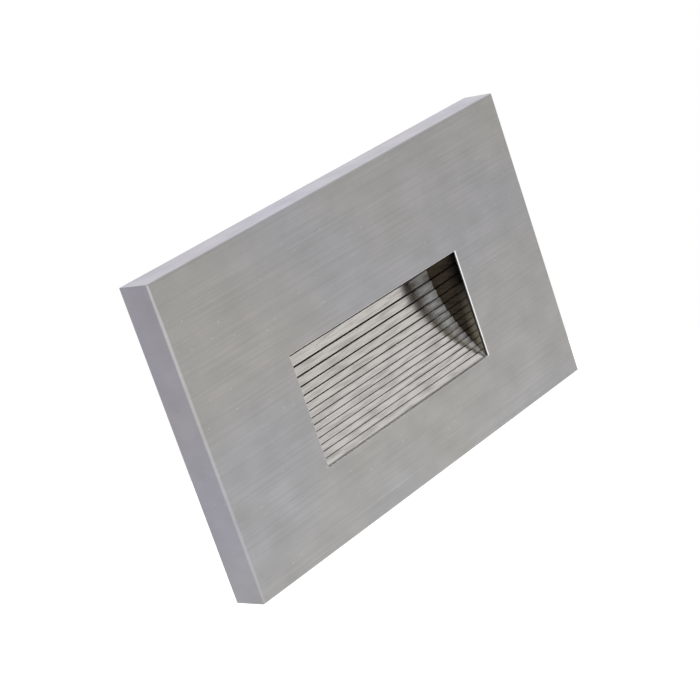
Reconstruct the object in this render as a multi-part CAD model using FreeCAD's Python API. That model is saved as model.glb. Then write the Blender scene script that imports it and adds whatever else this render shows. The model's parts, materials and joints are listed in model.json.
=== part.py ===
"""Rectangular recessed step light for a single-gang wall box, as an assembly of separate pieces.

A folded stainless faceplate snaps over a steel yoke. Its window frames a bright ribbed reflector
scoop, lit from above by a strip of LEDs hidden behind the window's top edge. The yoke also carries
a cast housing that goes into the wall box and holds the LED driver and a rising-cage terminal block.

Frame, in millimetres: the wall surface is Y = 0, +Y goes into the wall and +Z is up. The origin is
the middle of the faceplate on the wall surface, midway between the two wall-box screws.
"""

import FreeCAD, Part
import math
import os

V = FreeCAD.Vector

# ---- faceplate: a folded sheet tray with a window ----
PLATE_WIDTH = 114.3
PLATE_HEIGHT = 69.85
PLATE_DEPTH = 8.6
SHEET = 0.8
BEND_RADIUS = 0.7
WINDOW_WIDTH = 57.2
WINDOW_HEIGHT = 25.4
WINDOW_DROP = 5.5
NOTCH_WIDTH = 9.0
NOTCH_DEPTH = 1.4

# ---- clearances ----
FIT_GAP = 0.1
SLIDE_GAP = 0.15
SCREW_GAP = 0.05
CAST_GAP = 0.3

# ---- reflector: a stepped scoop between two cheeks ----
SCOOP_DEPTH = 10.2
SCOOP_VERTEX_DROP = 1.9
RIB_COUNT = 14
RIB_PITCH = 1.2
RIB_TOP_DROP = 3.7
RIB_GROWTH = 4.4
REFLECTOR_WALL = 1.0
RIM_WIDTH = 2.6
RIM_THICKNESS = 0.8
EAR_PAST_SCREW = 2.5
EAR_HEIGHT = 6.0
EAR_THICKNESS = 1.2
EAR_DROP = 12.0
EAR_SCREW_END_Y = -0.4

# ---- lamp strip above the window ----
THROAT_RISE = 1.7
LENS_THICKNESS = 1.4
LENS_GASKET = 0.6
LENS_LIP = 1.3
FRAME_WALL = 1.0
FRAME_LEDGE = 1.0
FRAME_HALF_WIDTH = WINDOW_WIDTH / 2 + 1.9
FRAME_EAR = 4.7
BOARD_THICKNESS = 1.0
CHIP_COUNT = 6
CHIP_PITCH = 9.0
CHIP_SIZE = (3.5, 2.8, 0.7)
SHELF_THICKNESS = 2.0
LEG_THICKNESS = 1.8
LEG_HEIGHT = 8.0
THERMAL_PAD = 0.3

# ---- yoke, gasket and wall-box screws ----
GASKET_THICKNESS = 1.5
YOKE_THICKNESS = 1.2
YOKE_WIDTH = PLATE_WIDTH - 2 * 4.15
YOKE_HEIGHT = PLATE_HEIGHT - 2 * 4.925
YOKE_OPENING_TOP = 22.0
YOKE_OPENING_BOTTOM = 21.5
BOX_SCREW_SPACING = 83.3
BOX_SCREW_RADIUS = 1.75
BOX_SCREW_LENGTH = 19.05
BOX_SCREW_HEAD = (3.45, 2.1)
BOX_SCREW_NECK = 1.4
SLOT_WIDTH = 4.0
SLOT_LENGTH = 7.0
RETAINER = (3.3, 0.7)
GASKET_EDGE = 3.0
END_TAB_WIDTH = 16.0
END_TAB_REACH = 3.9
LOCATING_TAB_WIDTH = 10.0
LOCATING_TAB_REACH = 3.3
LOCATING_TAB_SPACING = 44.0
SPRING_STRIP = 0.35
SPRING_WIDTH = 10.0

# ---- housing ----
HOUSING_WIDTH = WINDOW_WIDTH + 2 * 6.4
HOUSING_HEIGHT = 48.0
HOUSING_WALL = 1.6
HOUSING_REAR = 23.0
FLANGE_LEDGE = 2.0
FLANGE_HEIGHT_LEDGE = 1.0
PARTITION_FRONT = 4.0
PARTITION = 1.6
CORNER_SCREW_SPACING = (HOUSING_WIDTH - 4.0, HOUSING_HEIGHT - 7.0)
CORNER_BLOCK = (4.1, 6.0)
COVER_SCREW_SPACING = (HOUSING_WIDTH - 9.2, HOUSING_HEIGHT - 9.2)
COVER_BOSS_RADIUS = 2.6
HEAT_BOSS_RADIUS = 3.0
HEAT_BOSS_LENGTH = 3.4
HEAT_SCREW_SPACING = HOUSING_WIDTH - 34.0
COVER_GASKET = 0.8
COVER_GASKET_WIDTH = 2.0
COVER_THICKNESS = 1.8
COVER_COLLAR = (1.2, 1.0)
INSULATION = 0.3

# ---- driver board and its components ----
BOARD_WIDTH = HOUSING_WIDTH - 15.2
BOARD_HEIGHT = HOUSING_HEIGHT - 8.0
DRIVER_BOARD = 1.6
BOARD_BACK_ROOM = 1.6
POST_SPACING = (BOARD_WIDTH - 6.8, BOARD_HEIGHT - 9.0)
POST_RADIUS = 2.2

# ---- terminal block: three rising-cage poles ----
POLE_PITCH = 5.08
POLES = ("live", "neutral", "earth")
TERMINAL_HEIGHT = 15.0
TERMINAL_DEPTH = 9.5
TERMINAL_BOTTOM = -10.0
TERMINAL_END_WALL = 0.5
ENTRY_RADIUS = 1.5
ENTRY_WALL = 2.5
CAGE_WIDTH = 4.2
CAGE_DEPTH = 4.4
CAGE_WALL = 1.0
CAGE_SIDE = 0.5
CAGE_TRAVEL = 1.5
CAGE_CLEARANCE = 0.15
BUSBAR = (2.4, 0.8)
BUSBAR_PIN = 0.8
CLAMP_SCREW_RADIUS = 1.42
CLAMP_HEAD = (1.9, 1.6)
CLAMP_SLOT = (0.7, 0.8)
WELL_DEPTH = 2.1
WEB = 0.8

# ---- small screws: shank radius, head radius, head height ----
SMALL_SCREW = (1.2, 2.2, 1.5)
TINY_SCREW = (1.0, 1.9, 1.4)
HEAT_SCREW = (1.4, 2.6, 1.6)
DRIVE_WIDTH = 0.8
DRIVE_DEPTH = 0.7
DRIVE_SPAN = 0.7
HEAD_ROUNDING = 0.45

# ---- leads from the driver to the lamp strip ----
LEAD_RADIUS = 0.6
GROMMET_BORE = 1.4
GROMMET_NECK = 1.75
GROMMET_FLANGE = 2.25
GROMMET_LIP = 0.7
LEAD_NOTCH = 2.7

# ---- levels along Y, from the front to the back ----
FRONT_Y = -PLATE_DEPTH
SHEET_BACK_Y = FRONT_Y + SHEET
RIM_Y = SHEET_BACK_Y + FIT_GAP
YOKE_BACK_Y = -GASKET_THICKNESS
YOKE_FRONT_Y = YOKE_BACK_Y - YOKE_THICKNESS
SCOOP_BACK_Y = FRONT_Y + SCOOP_DEPTH + REFLECTOR_WALL
PARTITION_BACK_Y = PARTITION_FRONT + PARTITION
COVER_GASKET_BACK_Y = HOUSING_REAR + COVER_GASKET
COVER_BACK_Y = COVER_GASKET_BACK_Y + COVER_THICKNESS
DRIVER_BACK_Y = HOUSING_REAR - BOARD_BACK_ROOM
DRIVER_FRONT_Y = DRIVER_BACK_Y - DRIVER_BOARD

EAR_Y = (YOKE_FRONT_Y - EAR_THICKNESS, YOKE_FRONT_Y)
GROMMET_Y = (PARTITION_FRONT - GROMMET_LIP, PARTITION_BACK_Y + GROMMET_LIP)

# ---- screw holes ----
SMALL_HOLE = SMALL_SCREW[0] + SCREW_GAP
TINY_HOLE = TINY_SCREW[0] + SCREW_GAP
HEAT_HOLE = HEAT_SCREW[0] + SCREW_GAP

# ---- levels along Z, from the window up through the lamp strip ----
WINDOW_BOTTOM_Z = -WINDOW_DROP - WINDOW_HEIGHT / 2
WINDOW_TOP_Z = -WINDOW_DROP + WINDOW_HEIGHT / 2
REFLECTOR_TOP_Z = WINDOW_TOP_Z + THROAT_RISE
LENS_Z = REFLECTOR_TOP_Z + FIT_GAP
LENS_GASKET_Z = LENS_Z + LENS_THICKNESS
LIP_Z = LENS_GASKET_Z + LENS_GASKET
LAMP_BOARD_Z = LIP_Z + LENS_LIP
SHELF_Z = LAMP_BOARD_Z + BOARD_THICKNESS
SHELF_TOP_Z = SHELF_Z + SHELF_THICKNESS
LEG_TOP_Z = SHELF_Z + LEG_HEIGHT

# ---- derived places ----
CHEEK_X = WINDOW_WIDTH / 2 + FIT_GAP
REFLECTOR_HALF_WIDTH = CHEEK_X + REFLECTOR_WALL
EAR_X = HOUSING_WIDTH / 2 + 0.4
YOKE_OPENING_X = FRAME_HALF_WIDTH + CAST_GAP
HOUSING_INNER_X = HOUSING_WIDTH / 2 - HOUSING_WALL
HOUSING_INNER_Z = HOUSING_HEIGHT / 2 - HOUSING_WALL
FLANGE_X = HOUSING_WIDTH / 2 + FLANGE_LEDGE
FLANGE_Z = HOUSING_HEIGHT / 2 + FLANGE_HEIGHT_LEDGE
GASKET_INNER_X = FLANGE_X + 0.4
GASKET_INNER_Z = FLANGE_Z + 0.4
BOX_SCREW_X = BOX_SCREW_SPACING / 2
FRAME_FRONT_Y = SHEET_BACK_Y + 2 * FIT_GAP
FRAME_BACK_Y = SCOOP_BACK_Y
POCKET_FRONT_Y = FRAME_FRONT_Y + FRAME_WALL
POCKET_BACK_Y = FRAME_BACK_Y - FRAME_WALL
STRIP_Y = (POCKET_FRONT_Y + FIT_GAP, POCKET_BACK_Y - FIT_GAP)
STRIP_HALF_X = FRAME_HALF_WIDTH - FRAME_WALL - FIT_GAP
LEG_FRONT_Y = PARTITION_FRONT - THERMAL_PAD - LEG_THICKNESS
LEG_X = FRAME_HALF_WIDTH - 0.9
STRIP_BACK_Y = YOKE_FRONT_Y - 0.5
GROMMET_X = HOUSING_INNER_X - GROMMET_FLANGE - 0.15
GROMMET_Z = LENS_Z - 1.0


# ================= small solid makers =================

def block(x, y, z):
    """A box between two limits on each axis."""
    return Part.makeBox(x[1] - x[0], y[1] - y[0], z[1] - z[0], V(x[0], y[0], z[0]))


def centred(half_x, y, half_z):
    """A box centred on the Y axis."""
    return block((-half_x, half_x), y, (-half_z, half_z))


def rod(axis, x, y, z, radius, length):
    """A cylinder that starts at a point and runs along axis "x", "y" or "z"."""
    way = {"x": V(1, 0, 0), "y": V(0, 1, 0), "z": V(0, 0, 1)}[axis]
    return Part.makeCylinder(radius, length, V(x, y, z), way)


def pin_y(x, z, y, radius):
    """A cylinder along Y between two Y limits."""
    return rod("y", x, y[0], z, radius, y[1] - y[0])


def prism_x(points, x):
    """A closed outline of (y, z) points, carried along X between two limits."""
    corners = [V(x[0], y, z) for y, z in points]
    face = Part.Face(Part.makePolygon(corners + corners[:1]))
    return face.extrude(V(x[1] - x[0], 0, 0))


def joined(solids):
    """One solid from several that meet or overlap."""
    whole = solids[0].fuse(solids[1:]) if len(solids) > 1 else solids[0]
    return whole.removeSplitter()


def without(solid, cutters):
    """A solid with other solids cut away."""
    return solid.cut(cutters).removeSplitter()


def corners(spacing):
    """The four corner points of a rectangle with that spacing, centred on zero."""
    return [(sx * spacing[0] / 2, sz * spacing[1] / 2) for sx in (-1, 1) for sz in (-1, 1)]


def both_sides(solid):
    """A solid and its mirror image across X = 0."""
    return [solid, solid.mirror(V(0, 0, 0), V(1, 0, 0))]


def strip(points, thickness, z):
    """A thin bent strip: its centre line in X and Y, carried along Z between two limits."""
    parts = []
    half = thickness / 2
    height = z[1] - z[0]
    for (x0, y0), (x1, y1) in zip(points, points[1:]):
        length = math.hypot(x1 - x0, y1 - y0)
        nx, ny = -(y1 - y0) / length * half, (x1 - x0) / length * half
        outline = [V(x0 + nx, y0 + ny, z[0]), V(x1 + nx, y1 + ny, z[0]),
                   V(x1 - nx, y1 - ny, z[0]), V(x0 - nx, y0 - ny, z[0])]
        face = Part.Face(Part.makePolygon(outline + outline[:1]))
        parts.append(face.extrude(V(0, 0, height)))
    for x, y in points:
        parts.append(rod("z", x, y, z[0], half, height))
    return joined(parts)


def tube(points, radius):
    """A round lead along straight runs joined by tangent arcs, each arc as large as its runs allow."""
    points = [V(*p) for p in points]
    edges = []
    start = points[0]
    for before, corner, after in zip(points, points[1:], points[2:]):
        back, ahead = before - corner, after - corner
        run = min(back.Length, ahead.Length)
        back.normalize()
        ahead.normalize()
        turn = math.pi - back.getAngle(ahead)
        arc_radius = 0.45 * run / math.tan(turn / 2)
        arc_start = corner + back * 0.45 * run
        arc_end = corner + ahead * 0.45 * run
        inward = (back + ahead).normalize()
        arc_middle = corner + inward * (arc_radius / math.cos(turn / 2) - arc_radius)
        edges.append(Part.LineSegment(start, arc_start).toShape())
        edges.append(Part.Arc(arc_start, arc_middle, arc_end).toShape())
        start = arc_end
        print("lead arc radius", round(arc_radius, 2))
    edges.append(Part.LineSegment(start, points[-1]).toShape())
    path = Part.Wire(edges)
    direction = points[1] - points[0]
    section = Part.Wire(Part.makeCircle(radius, points[0], direction))
    swept = path.makePipeShell([section], True, False)
    expected = math.pi * radius ** 2 * path.Length
    print("lead length", round(path.Length, 2), "volume ratio", round(swept.Volume / expected, 4))
    return swept


# ================= screws =================

def screw_back(x, z, seat_y, length, sizes):
    """A pan-head screw whose head seats on a front face and whose shank runs back along +Y."""
    shank, head, height = sizes
    head_solid = pin_y(x, z, (seat_y - height, seat_y), head)
    rim = head_solid.Edges[rim_edge(head_solid, 1, seat_y - height)]
    head_solid = head_solid.makeFillet(HEAD_ROUNDING * height, [rim])
    drive = block((x - DRIVE_WIDTH / 2, x + DRIVE_WIDTH / 2),
                  (seat_y - height, seat_y - height + DRIVE_DEPTH),
                  (z - DRIVE_SPAN * head, z + DRIVE_SPAN * head))
    cross = drive.copy()
    cross.rotate(V(x, 0, z), V(0, 1, 0), 90)
    body = joined([head_solid, pin_y(x, z, (seat_y, seat_y + length), shank)])
    return without(body, [drive, cross])


def screw_front(x, z, seat_y, length, sizes):
    """The same screw turned round: head behind a rear face, shank forward along -Y."""
    solid = screw_back(x, z, -seat_y, length, sizes)
    solid.rotate(V(x, 0, z), V(0, 0, 1), 180)
    return solid


def rim_edge(solid, axis, level):
    """The index of the round edge that lies at a level on the X, Y or Z axis (0, 1 or 2)."""
    for index, edge in enumerate(solid.Edges):
        if edge.Curve.TypeId == "Part::GeomCircle" and abs(edge.BoundBox.Center[axis] - level) < 1e-6:
            return index
    raise ValueError("no round edge at that level")


# ================= faceplate and yoke =================

def make_faceplate():
    """The folded tray: front sheet, four ground flanges, the window and the pry notch."""
    half_x, half_z = PLATE_WIDTH / 2, PLATE_HEIGHT / 2
    outer = centred(half_x, (FRONT_Y, 0), half_z)
    front_edges = [e for e in outer.Edges
                   if abs(e.BoundBox.YMin - FRONT_Y) < 1e-6 and abs(e.BoundBox.YMax - FRONT_Y) < 1e-6]
    outer = outer.makeFillet(min(BEND_RADIUS, 0.9 * SHEET), front_edges)
    inner = centred(half_x - SHEET, (SHEET_BACK_Y, 0), half_z - SHEET)
    window = block((-WINDOW_WIDTH / 2, WINDOW_WIDTH / 2), (FRONT_Y, SHEET_BACK_Y),
                   (WINDOW_BOTTOM_Z, WINDOW_TOP_Z))
    notch = block((-NOTCH_WIDTH / 2, NOTCH_WIDTH / 2), (-NOTCH_DEPTH, 0), (-half_z, -half_z + SHEET))
    return without(outer, [inner, window, notch])


def make_yoke():
    """The steel strap: opening, screw slots, end tabs for the springs and tabs that locate the plate."""
    plate = centred(YOKE_WIDTH / 2, (YOKE_FRONT_Y, YOKE_BACK_Y), YOKE_HEIGHT / 2)
    parts = [plate]
    end = block((YOKE_WIDTH / 2 - YOKE_THICKNESS, YOKE_WIDTH / 2),
                (YOKE_FRONT_Y - END_TAB_REACH, YOKE_BACK_Y), (-END_TAB_WIDTH / 2, END_TAB_WIDTH / 2))
    parts += both_sides(end)
    tab_top = PLATE_HEIGHT / 2 - SHEET - SLIDE_GAP
    tab_x = (LOCATING_TAB_SPACING / 2 - LOCATING_TAB_WIDTH / 2,
             LOCATING_TAB_SPACING / 2 + LOCATING_TAB_WIDTH / 2)
    web = block(tab_x, (YOKE_FRONT_Y, YOKE_BACK_Y), (YOKE_HEIGHT / 2 - YOKE_THICKNESS, tab_top))
    lip = block(tab_x, (YOKE_FRONT_Y - LOCATING_TAB_REACH, YOKE_BACK_Y), (tab_top - YOKE_THICKNESS, tab_top))
    tab = joined([web, lip])
    for side in both_sides(tab):
        parts += [side, side.mirror(V(0, 0, 0), V(0, 0, 1))]
    depth = (YOKE_FRONT_Y, YOKE_BACK_Y)
    cutters = [block((-YOKE_OPENING_X, YOKE_OPENING_X), depth, (-YOKE_OPENING_BOTTOM, YOKE_OPENING_TOP)),
               block((0, YOKE_OPENING_X + LEAD_NOTCH), depth, (GROMMET_Z - 1.0, LAMP_BOARD_Z + 1.5))]
    for side in (-1, 1):
        run = (SLOT_LENGTH - SLOT_WIDTH) / 2
        middle = side * BOX_SCREW_X
        cutters.append(block((middle - run, middle + run), depth, (-SLOT_WIDTH / 2, SLOT_WIDTH / 2)))
        cutters.append(pin_y(middle - run, 0, depth, SLOT_WIDTH / 2))
        cutters.append(pin_y(middle + run, 0, depth, SLOT_WIDTH / 2))
        cutters.append(pin_y(side * EAR_X, -EAR_DROP, depth, TINY_HOLE))
    cutters += [pin_y(x, z, depth, SMALL_HOLE) for x, z in corners(CORNER_SCREW_SPACING)]
    return without(joined(parts), cutters)


def make_retaining_spring(side):
    """A U-shaped leaf spring clipped over the yoke's end tab, with a crest that grips the flange."""
    half = SPRING_STRIP / 2
    tab_outer = YOKE_WIDTH / 2
    tab_inner = tab_outer - YOKE_THICKNESS
    tab_front = YOKE_FRONT_Y - END_TAB_REACH
    flange = PLATE_WIDTH / 2 - SHEET
    top = tab_front - FIT_GAP / 2 - half
    inner = tab_inner - FIT_GAP / 2 - half
    outer = tab_outer + FIT_GAP / 2 + half
    crest = flange - FIT_GAP - half
    crest_y = 0.5 * (top + YOKE_FRONT_Y)
    points = [(inner, YOKE_FRONT_Y - 0.4), (inner, top + 0.12), (inner + 0.12, top), (outer, top),
              (outer + 0.8, top + 0.25), (crest - 0.3, crest_y - 0.5), (crest, crest_y),
              (crest - 0.3, crest_y + 0.5), (outer + 0.5, YOKE_FRONT_Y - 0.3)]
    spring = strip([(side * x, y) for x, y in points], SPRING_STRIP, (-SPRING_WIDTH / 2, SPRING_WIDTH / 2))
    return spring


def make_wall_gasket():
    """The foam ring between the yoke and the wall, with a notch for each wall-box screw."""
    depth = (YOKE_BACK_Y, 0)
    ring = centred(YOKE_WIDTH / 2 - GASKET_EDGE, depth, YOKE_HEIGHT / 2 - 1.0)
    hole = centred(GASKET_INNER_X, depth, GASKET_INNER_Z)
    notch_half = RETAINER[0] + 0.5
    cutters = [hole]
    for side in (-1, 1):
        cutters.append(pin_y(side * BOX_SCREW_X, 0, depth, notch_half))
        reach = sorted((side * (GASKET_INNER_X - 1), side * BOX_SCREW_X))
        cutters.append(block(reach, depth, (-notch_half, notch_half)))
    return without(ring, cutters)


def make_box_screw(side):
    """A captive machine screw that fastens the yoke to the wall box: its neck is thinner than its thread."""
    sizes = (BOX_SCREW_NECK, BOX_SCREW_HEAD[0], BOX_SCREW_HEAD[1])
    x = side * BOX_SCREW_X
    neck = screw_back(x, 0, YOKE_FRONT_Y, -YOKE_FRONT_Y, sizes)
    thread = pin_y(x, 0, (0, YOKE_FRONT_Y + BOX_SCREW_LENGTH), BOX_SCREW_RADIUS)
    return joined([neck, thread])


def make_screw_retainer(side):
    """A fibre washer that keeps a wall-box screw in its slot."""
    depth = (YOKE_BACK_Y, YOKE_BACK_Y + RETAINER[1])
    ring = pin_y(side * BOX_SCREW_X, 0, depth, RETAINER[0])
    return ring.cut(pin_y(side * BOX_SCREW_X, 0, depth, BOX_SCREW_NECK + SCREW_GAP))


# ================= reflector =================

def scoop_depth(height):
    """Depth of the scoop behind the plate's face, at a height above the window's bottom edge."""
    vertex = WINDOW_HEIGHT - SCOOP_VERTEX_DROP
    curve = (SCOOP_DEPTH - SHEET) / vertex ** 2
    return SCOOP_DEPTH - curve * max(vertex - height, 0) ** 2


def rib_heights():
    """Heights of the ledges above the window's bottom edge: close at the lip, wider near the lamp."""
    count = int(RIB_COUNT)
    stretch = WINDOW_HEIGHT - RIB_TOP_DROP - count * RIB_PITCH
    return [RIB_PITCH * i + stretch * (i / count) ** RIB_GROWTH for i in range(count + 1)]


def scoop_front():
    """The stepped front outline of the scoop's floor, from the lip up, as (y, z) points."""
    ledges = rib_heights() + [REFLECTOR_TOP_Z - WINDOW_BOTTOM_Z]
    points = []
    for low, high in zip(ledges, ledges[1:]):
        tread_y = FRONT_Y + scoop_depth((low + high) / 2)
        points += [(tread_y, WINDOW_BOTTOM_Z + low), (tread_y, WINDOW_BOTTOM_Z + high)]
    return points


def scoop_back():
    """The smooth back outline of the scoop's floor, from the top down, as (y, z) points."""
    top = REFLECTOR_TOP_Z - WINDOW_BOTTOM_Z
    spans = 8
    heights = [top * (1 - i / spans) for i in range(spans + 1)]
    return [(FRONT_Y + scoop_depth(h) + REFLECTOR_WALL * (1.7 - 0.7 * h / top), WINDOW_BOTTOM_Z + h - 0.6)
            for h in heights]


def make_reflector():
    """The bright scoop: ribbed floor, two cheeks, a rim behind the plate's window and two ears."""
    back = scoop_back()
    back[0] = (back[0][0], REFLECTOR_TOP_Z)
    foot_z = WINDOW_BOTTOM_Z - 1.0
    front = scoop_front()
    foot = [(RIM_Y + RIM_THICKNESS, foot_z), (RIM_Y, foot_z), (RIM_Y, front[0][1])]
    floor = prism_x(front + back + foot, (-REFLECTOR_HALF_WIDTH, REFLECTOR_HALF_WIDTH))
    cheek = prism_x([(RIM_Y, REFLECTOR_TOP_Z)] + back + foot[:2], (CHEEK_X, REFLECTOR_HALF_WIDTH))
    rim = block((-CHEEK_X - RIM_WIDTH, CHEEK_X + RIM_WIDTH), (RIM_Y, RIM_Y + RIM_THICKNESS),
                (WINDOW_BOTTOM_Z - RIM_WIDTH, REFLECTOR_TOP_Z))
    rim = rim.cut(block((-CHEEK_X, CHEEK_X), (RIM_Y, RIM_Y + RIM_THICKNESS), (WINDOW_BOTTOM_Z, WINDOW_TOP_Z)))
    ear = block((REFLECTOR_HALF_WIDTH - 0.5, EAR_X + EAR_PAST_SCREW),
                EAR_Y, (-EAR_DROP - EAR_HEIGHT / 2, -EAR_DROP + EAR_HEIGHT / 2))
    ear = ear.cut(pin_y(EAR_X, -EAR_DROP, EAR_Y, TINY_HOLE))
    rib = prism_x([(RIM_Y, -EAR_DROP - 0.5), (YOKE_FRONT_Y, -EAR_DROP - 0.5),
                   (YOKE_FRONT_Y, -EAR_DROP + 0.5), (RIM_Y, -EAR_DROP + 0.5)],
                  (REFLECTOR_HALF_WIDTH - 0.5, REFLECTOR_HALF_WIDTH + 1.5))
    solids = [floor, rim]
    for piece in (cheek, ear, rib):
        solids += both_sides(piece)
    return joined(solids)


def make_reflector_screws():
    """The two screws that hold the reflector's ears to the yoke and the housing's flange."""
    seat = YOKE_FRONT_Y - EAR_THICKNESS
    length = EAR_SCREW_END_Y - seat
    return [screw_back(side * EAR_X, -EAR_DROP, seat, length, TINY_SCREW) for side in (-1, 1)]


# ================= lamp strip =================

def make_lens_frame():
    """The moulded frame that holds the lens below the lamp board, with an ear at each end."""
    outer = block((-FRAME_HALF_WIDTH, FRAME_HALF_WIDTH), (FRAME_FRONT_Y, FRAME_BACK_Y), (LENS_Z, SHELF_Z))
    pocket_x = FRAME_HALF_WIDTH - FRAME_WALL
    lens_pocket = block((-pocket_x, pocket_x), (POCKET_FRONT_Y, POCKET_BACK_Y), (LENS_Z, LIP_Z))
    board_pocket = block((-pocket_x, pocket_x), (POCKET_FRONT_Y, POCKET_BACK_Y), (LAMP_BOARD_Z, SHELF_Z))
    throat_x = pocket_x - FRAME_LEDGE
    throat = block((-throat_x, throat_x), (POCKET_FRONT_Y + FRAME_LEDGE, POCKET_BACK_Y - FRAME_LEDGE),
                   (LIP_Z, LAMP_BOARD_Z))
    lead_way = block((throat_x - 1.0, FRAME_HALF_WIDTH), LEAD_WAY_Y, (LIP_Z, LAMP_BOARD_Z))
    lead_dip = block((pocket_x, FRAME_HALF_WIDTH), LEAD_WAY_Y, (LENS_GASKET_Z, LAMP_BOARD_Z))
    ear = block((FRAME_HALF_WIDTH - 0.5, FRAME_HALF_WIDTH + FRAME_EAR), FRAME_EAR_Y, (LIP_Z - 0.2, SHELF_Z))
    ears = both_sides(ear)
    holes = [rod("z", side * FRAME_SCREW_X, FRAME_SCREW_Y, LENS_Z, TINY_HOLE, SHELF_Z - LENS_Z)
             for side in (-1, 1)]
    return without(joined([outer] + ears), [lens_pocket, board_pocket, throat, lead_way, lead_dip] + holes)


FRAME_EAR_Y = (FRAME_FRONT_Y + 0.6, STRIP_BACK_Y - 0.2)
FRAME_SCREW_X = FRAME_HALF_WIDTH + 0.53 * FRAME_EAR
FRAME_SCREW_Y = sum(FRAME_EAR_Y) / 2
LEAD_FRONT_Y = -2.6
LEAD_BACK_Y = -1.1
LEAD_WAY_Y = (LEAD_FRONT_Y - 0.8, LEAD_BACK_Y + 0.8)


def make_lens():
    """The frosted strip lens."""
    return block((-STRIP_HALF_X, STRIP_HALF_X), STRIP_Y, (LENS_Z, LENS_GASKET_Z))


def make_lens_gasket():
    """The silicone ring above the lens."""
    front, back = STRIP_Y
    inner_x = STRIP_HALF_X - FRAME_LEDGE
    ring = block((-STRIP_HALF_X, STRIP_HALF_X), STRIP_Y, (LENS_GASKET_Z, LIP_Z))
    hole = block((-inner_x, inner_x), (front + FRAME_LEDGE, back - FRAME_LEDGE), (LENS_GASKET_Z, LIP_Z))
    return ring.cut(hole)


def make_lamp_board():
    """The metal-core board that faces down."""
    return block((-STRIP_HALF_X, STRIP_HALF_X), STRIP_Y, (LAMP_BOARD_Z, SHELF_Z))


def make_lamp_chips():
    """The row of LEDs under the lamp board."""
    length, width, height = CHIP_SIZE
    middle_y = (POCKET_FRONT_Y + POCKET_BACK_Y) / 2
    count = int(CHIP_COUNT)
    first = -CHIP_PITCH * (count - 1) / 2
    return [block((first + i * CHIP_PITCH - length / 2, first + i * CHIP_PITCH + length / 2),
                  (middle_y - width / 2, middle_y + width / 2), (LAMP_BOARD_Z - height, LAMP_BOARD_Z))
            for i in range(count)]


def make_heat_sink():
    """The aluminium bracket: a shelf over the lamp board and a leg against the housing's partition."""
    wide = block((-FRAME_HALF_WIDTH - FRAME_EAR, FRAME_HALF_WIDTH + FRAME_EAR), FRAME_EAR_Y,
                 (SHELF_Z, SHELF_TOP_Z))
    shelf = block((-LEG_X, LEG_X), (FRAME_EAR_Y[0], LEG_FRONT_Y + LEG_THICKNESS), (SHELF_Z, SHELF_TOP_Z))
    leg = block((-LEG_X, LEG_X), (LEG_FRONT_Y, LEG_FRONT_Y + LEG_THICKNESS), (SHELF_Z, LEG_TOP_Z))
    holes = [rod("z", side * FRAME_SCREW_X, FRAME_SCREW_Y, SHELF_Z, TINY_HOLE, SHELF_THICKNESS)
             for side in (-1, 1)]
    holes += [pin_y(side * HEAT_SCREW_SPACING / 2, HEAT_SCREW_Z, (LEG_FRONT_Y, PARTITION_FRONT),
                    HEAT_HOLE) for side in (-1, 1)]
    return without(joined([wide, shelf, leg]), holes)


HEAT_SCREW_Z = (SHELF_TOP_Z + LEG_TOP_Z) / 2


def make_thermal_pad():
    """The pad between the bracket's leg and the partition."""
    pad = block((-LEG_X + 1, LEG_X - 1), (PARTITION_FRONT - THERMAL_PAD, PARTITION_FRONT),
                (SHELF_Z + 0.5, LEG_TOP_Z - 0.5))
    return without(pad, [pin_y(side * HEAT_SCREW_SPACING / 2, HEAT_SCREW_Z, (0, PARTITION_FRONT),
                               HEAT_HOLE) for side in (-1, 1)])


def make_heat_sink_screws():
    """The two screws through the bracket's leg into the partition's bosses."""
    length = PARTITION_BACK_Y + HEAT_BOSS_LENGTH - LEG_FRONT_Y - 0.5
    return [screw_back(side * HEAT_SCREW_SPACING / 2, HEAT_SCREW_Z, LEG_FRONT_Y, length, HEAT_SCREW)
            for side in (-1, 1)]


def make_frame_screws():
    """The two screws that pull the lens frame up against the bracket."""
    solids = []
    seat = LIP_Z - 0.2
    shank, head, height = TINY_SCREW
    for side in (-1, 1):
        x = side * FRAME_SCREW_X
        head_solid = rod("z", x, FRAME_SCREW_Y, seat - height, head, height)
        edge = head_solid.Edges[rim_edge(head_solid, 2, seat - height)]
        head_solid = head_solid.makeFillet(HEAD_ROUNDING * height, [edge])
        drive = block((x - DRIVE_SPAN * head, x + DRIVE_SPAN * head),
                      (FRAME_SCREW_Y - DRIVE_WIDTH / 2, FRAME_SCREW_Y + DRIVE_WIDTH / 2),
                      (seat - height, seat - height + DRIVE_DEPTH))
        cross = drive.copy()
        cross.rotate(V(x, FRAME_SCREW_Y, 0), V(0, 0, 1), 90)
        body = joined([head_solid, rod("z", x, FRAME_SCREW_Y, seat, shank, SHELF_TOP_Z - seat)])
        solids.append(without(body, [drive, cross]))
    return solids


# ================= housing =================

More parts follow.
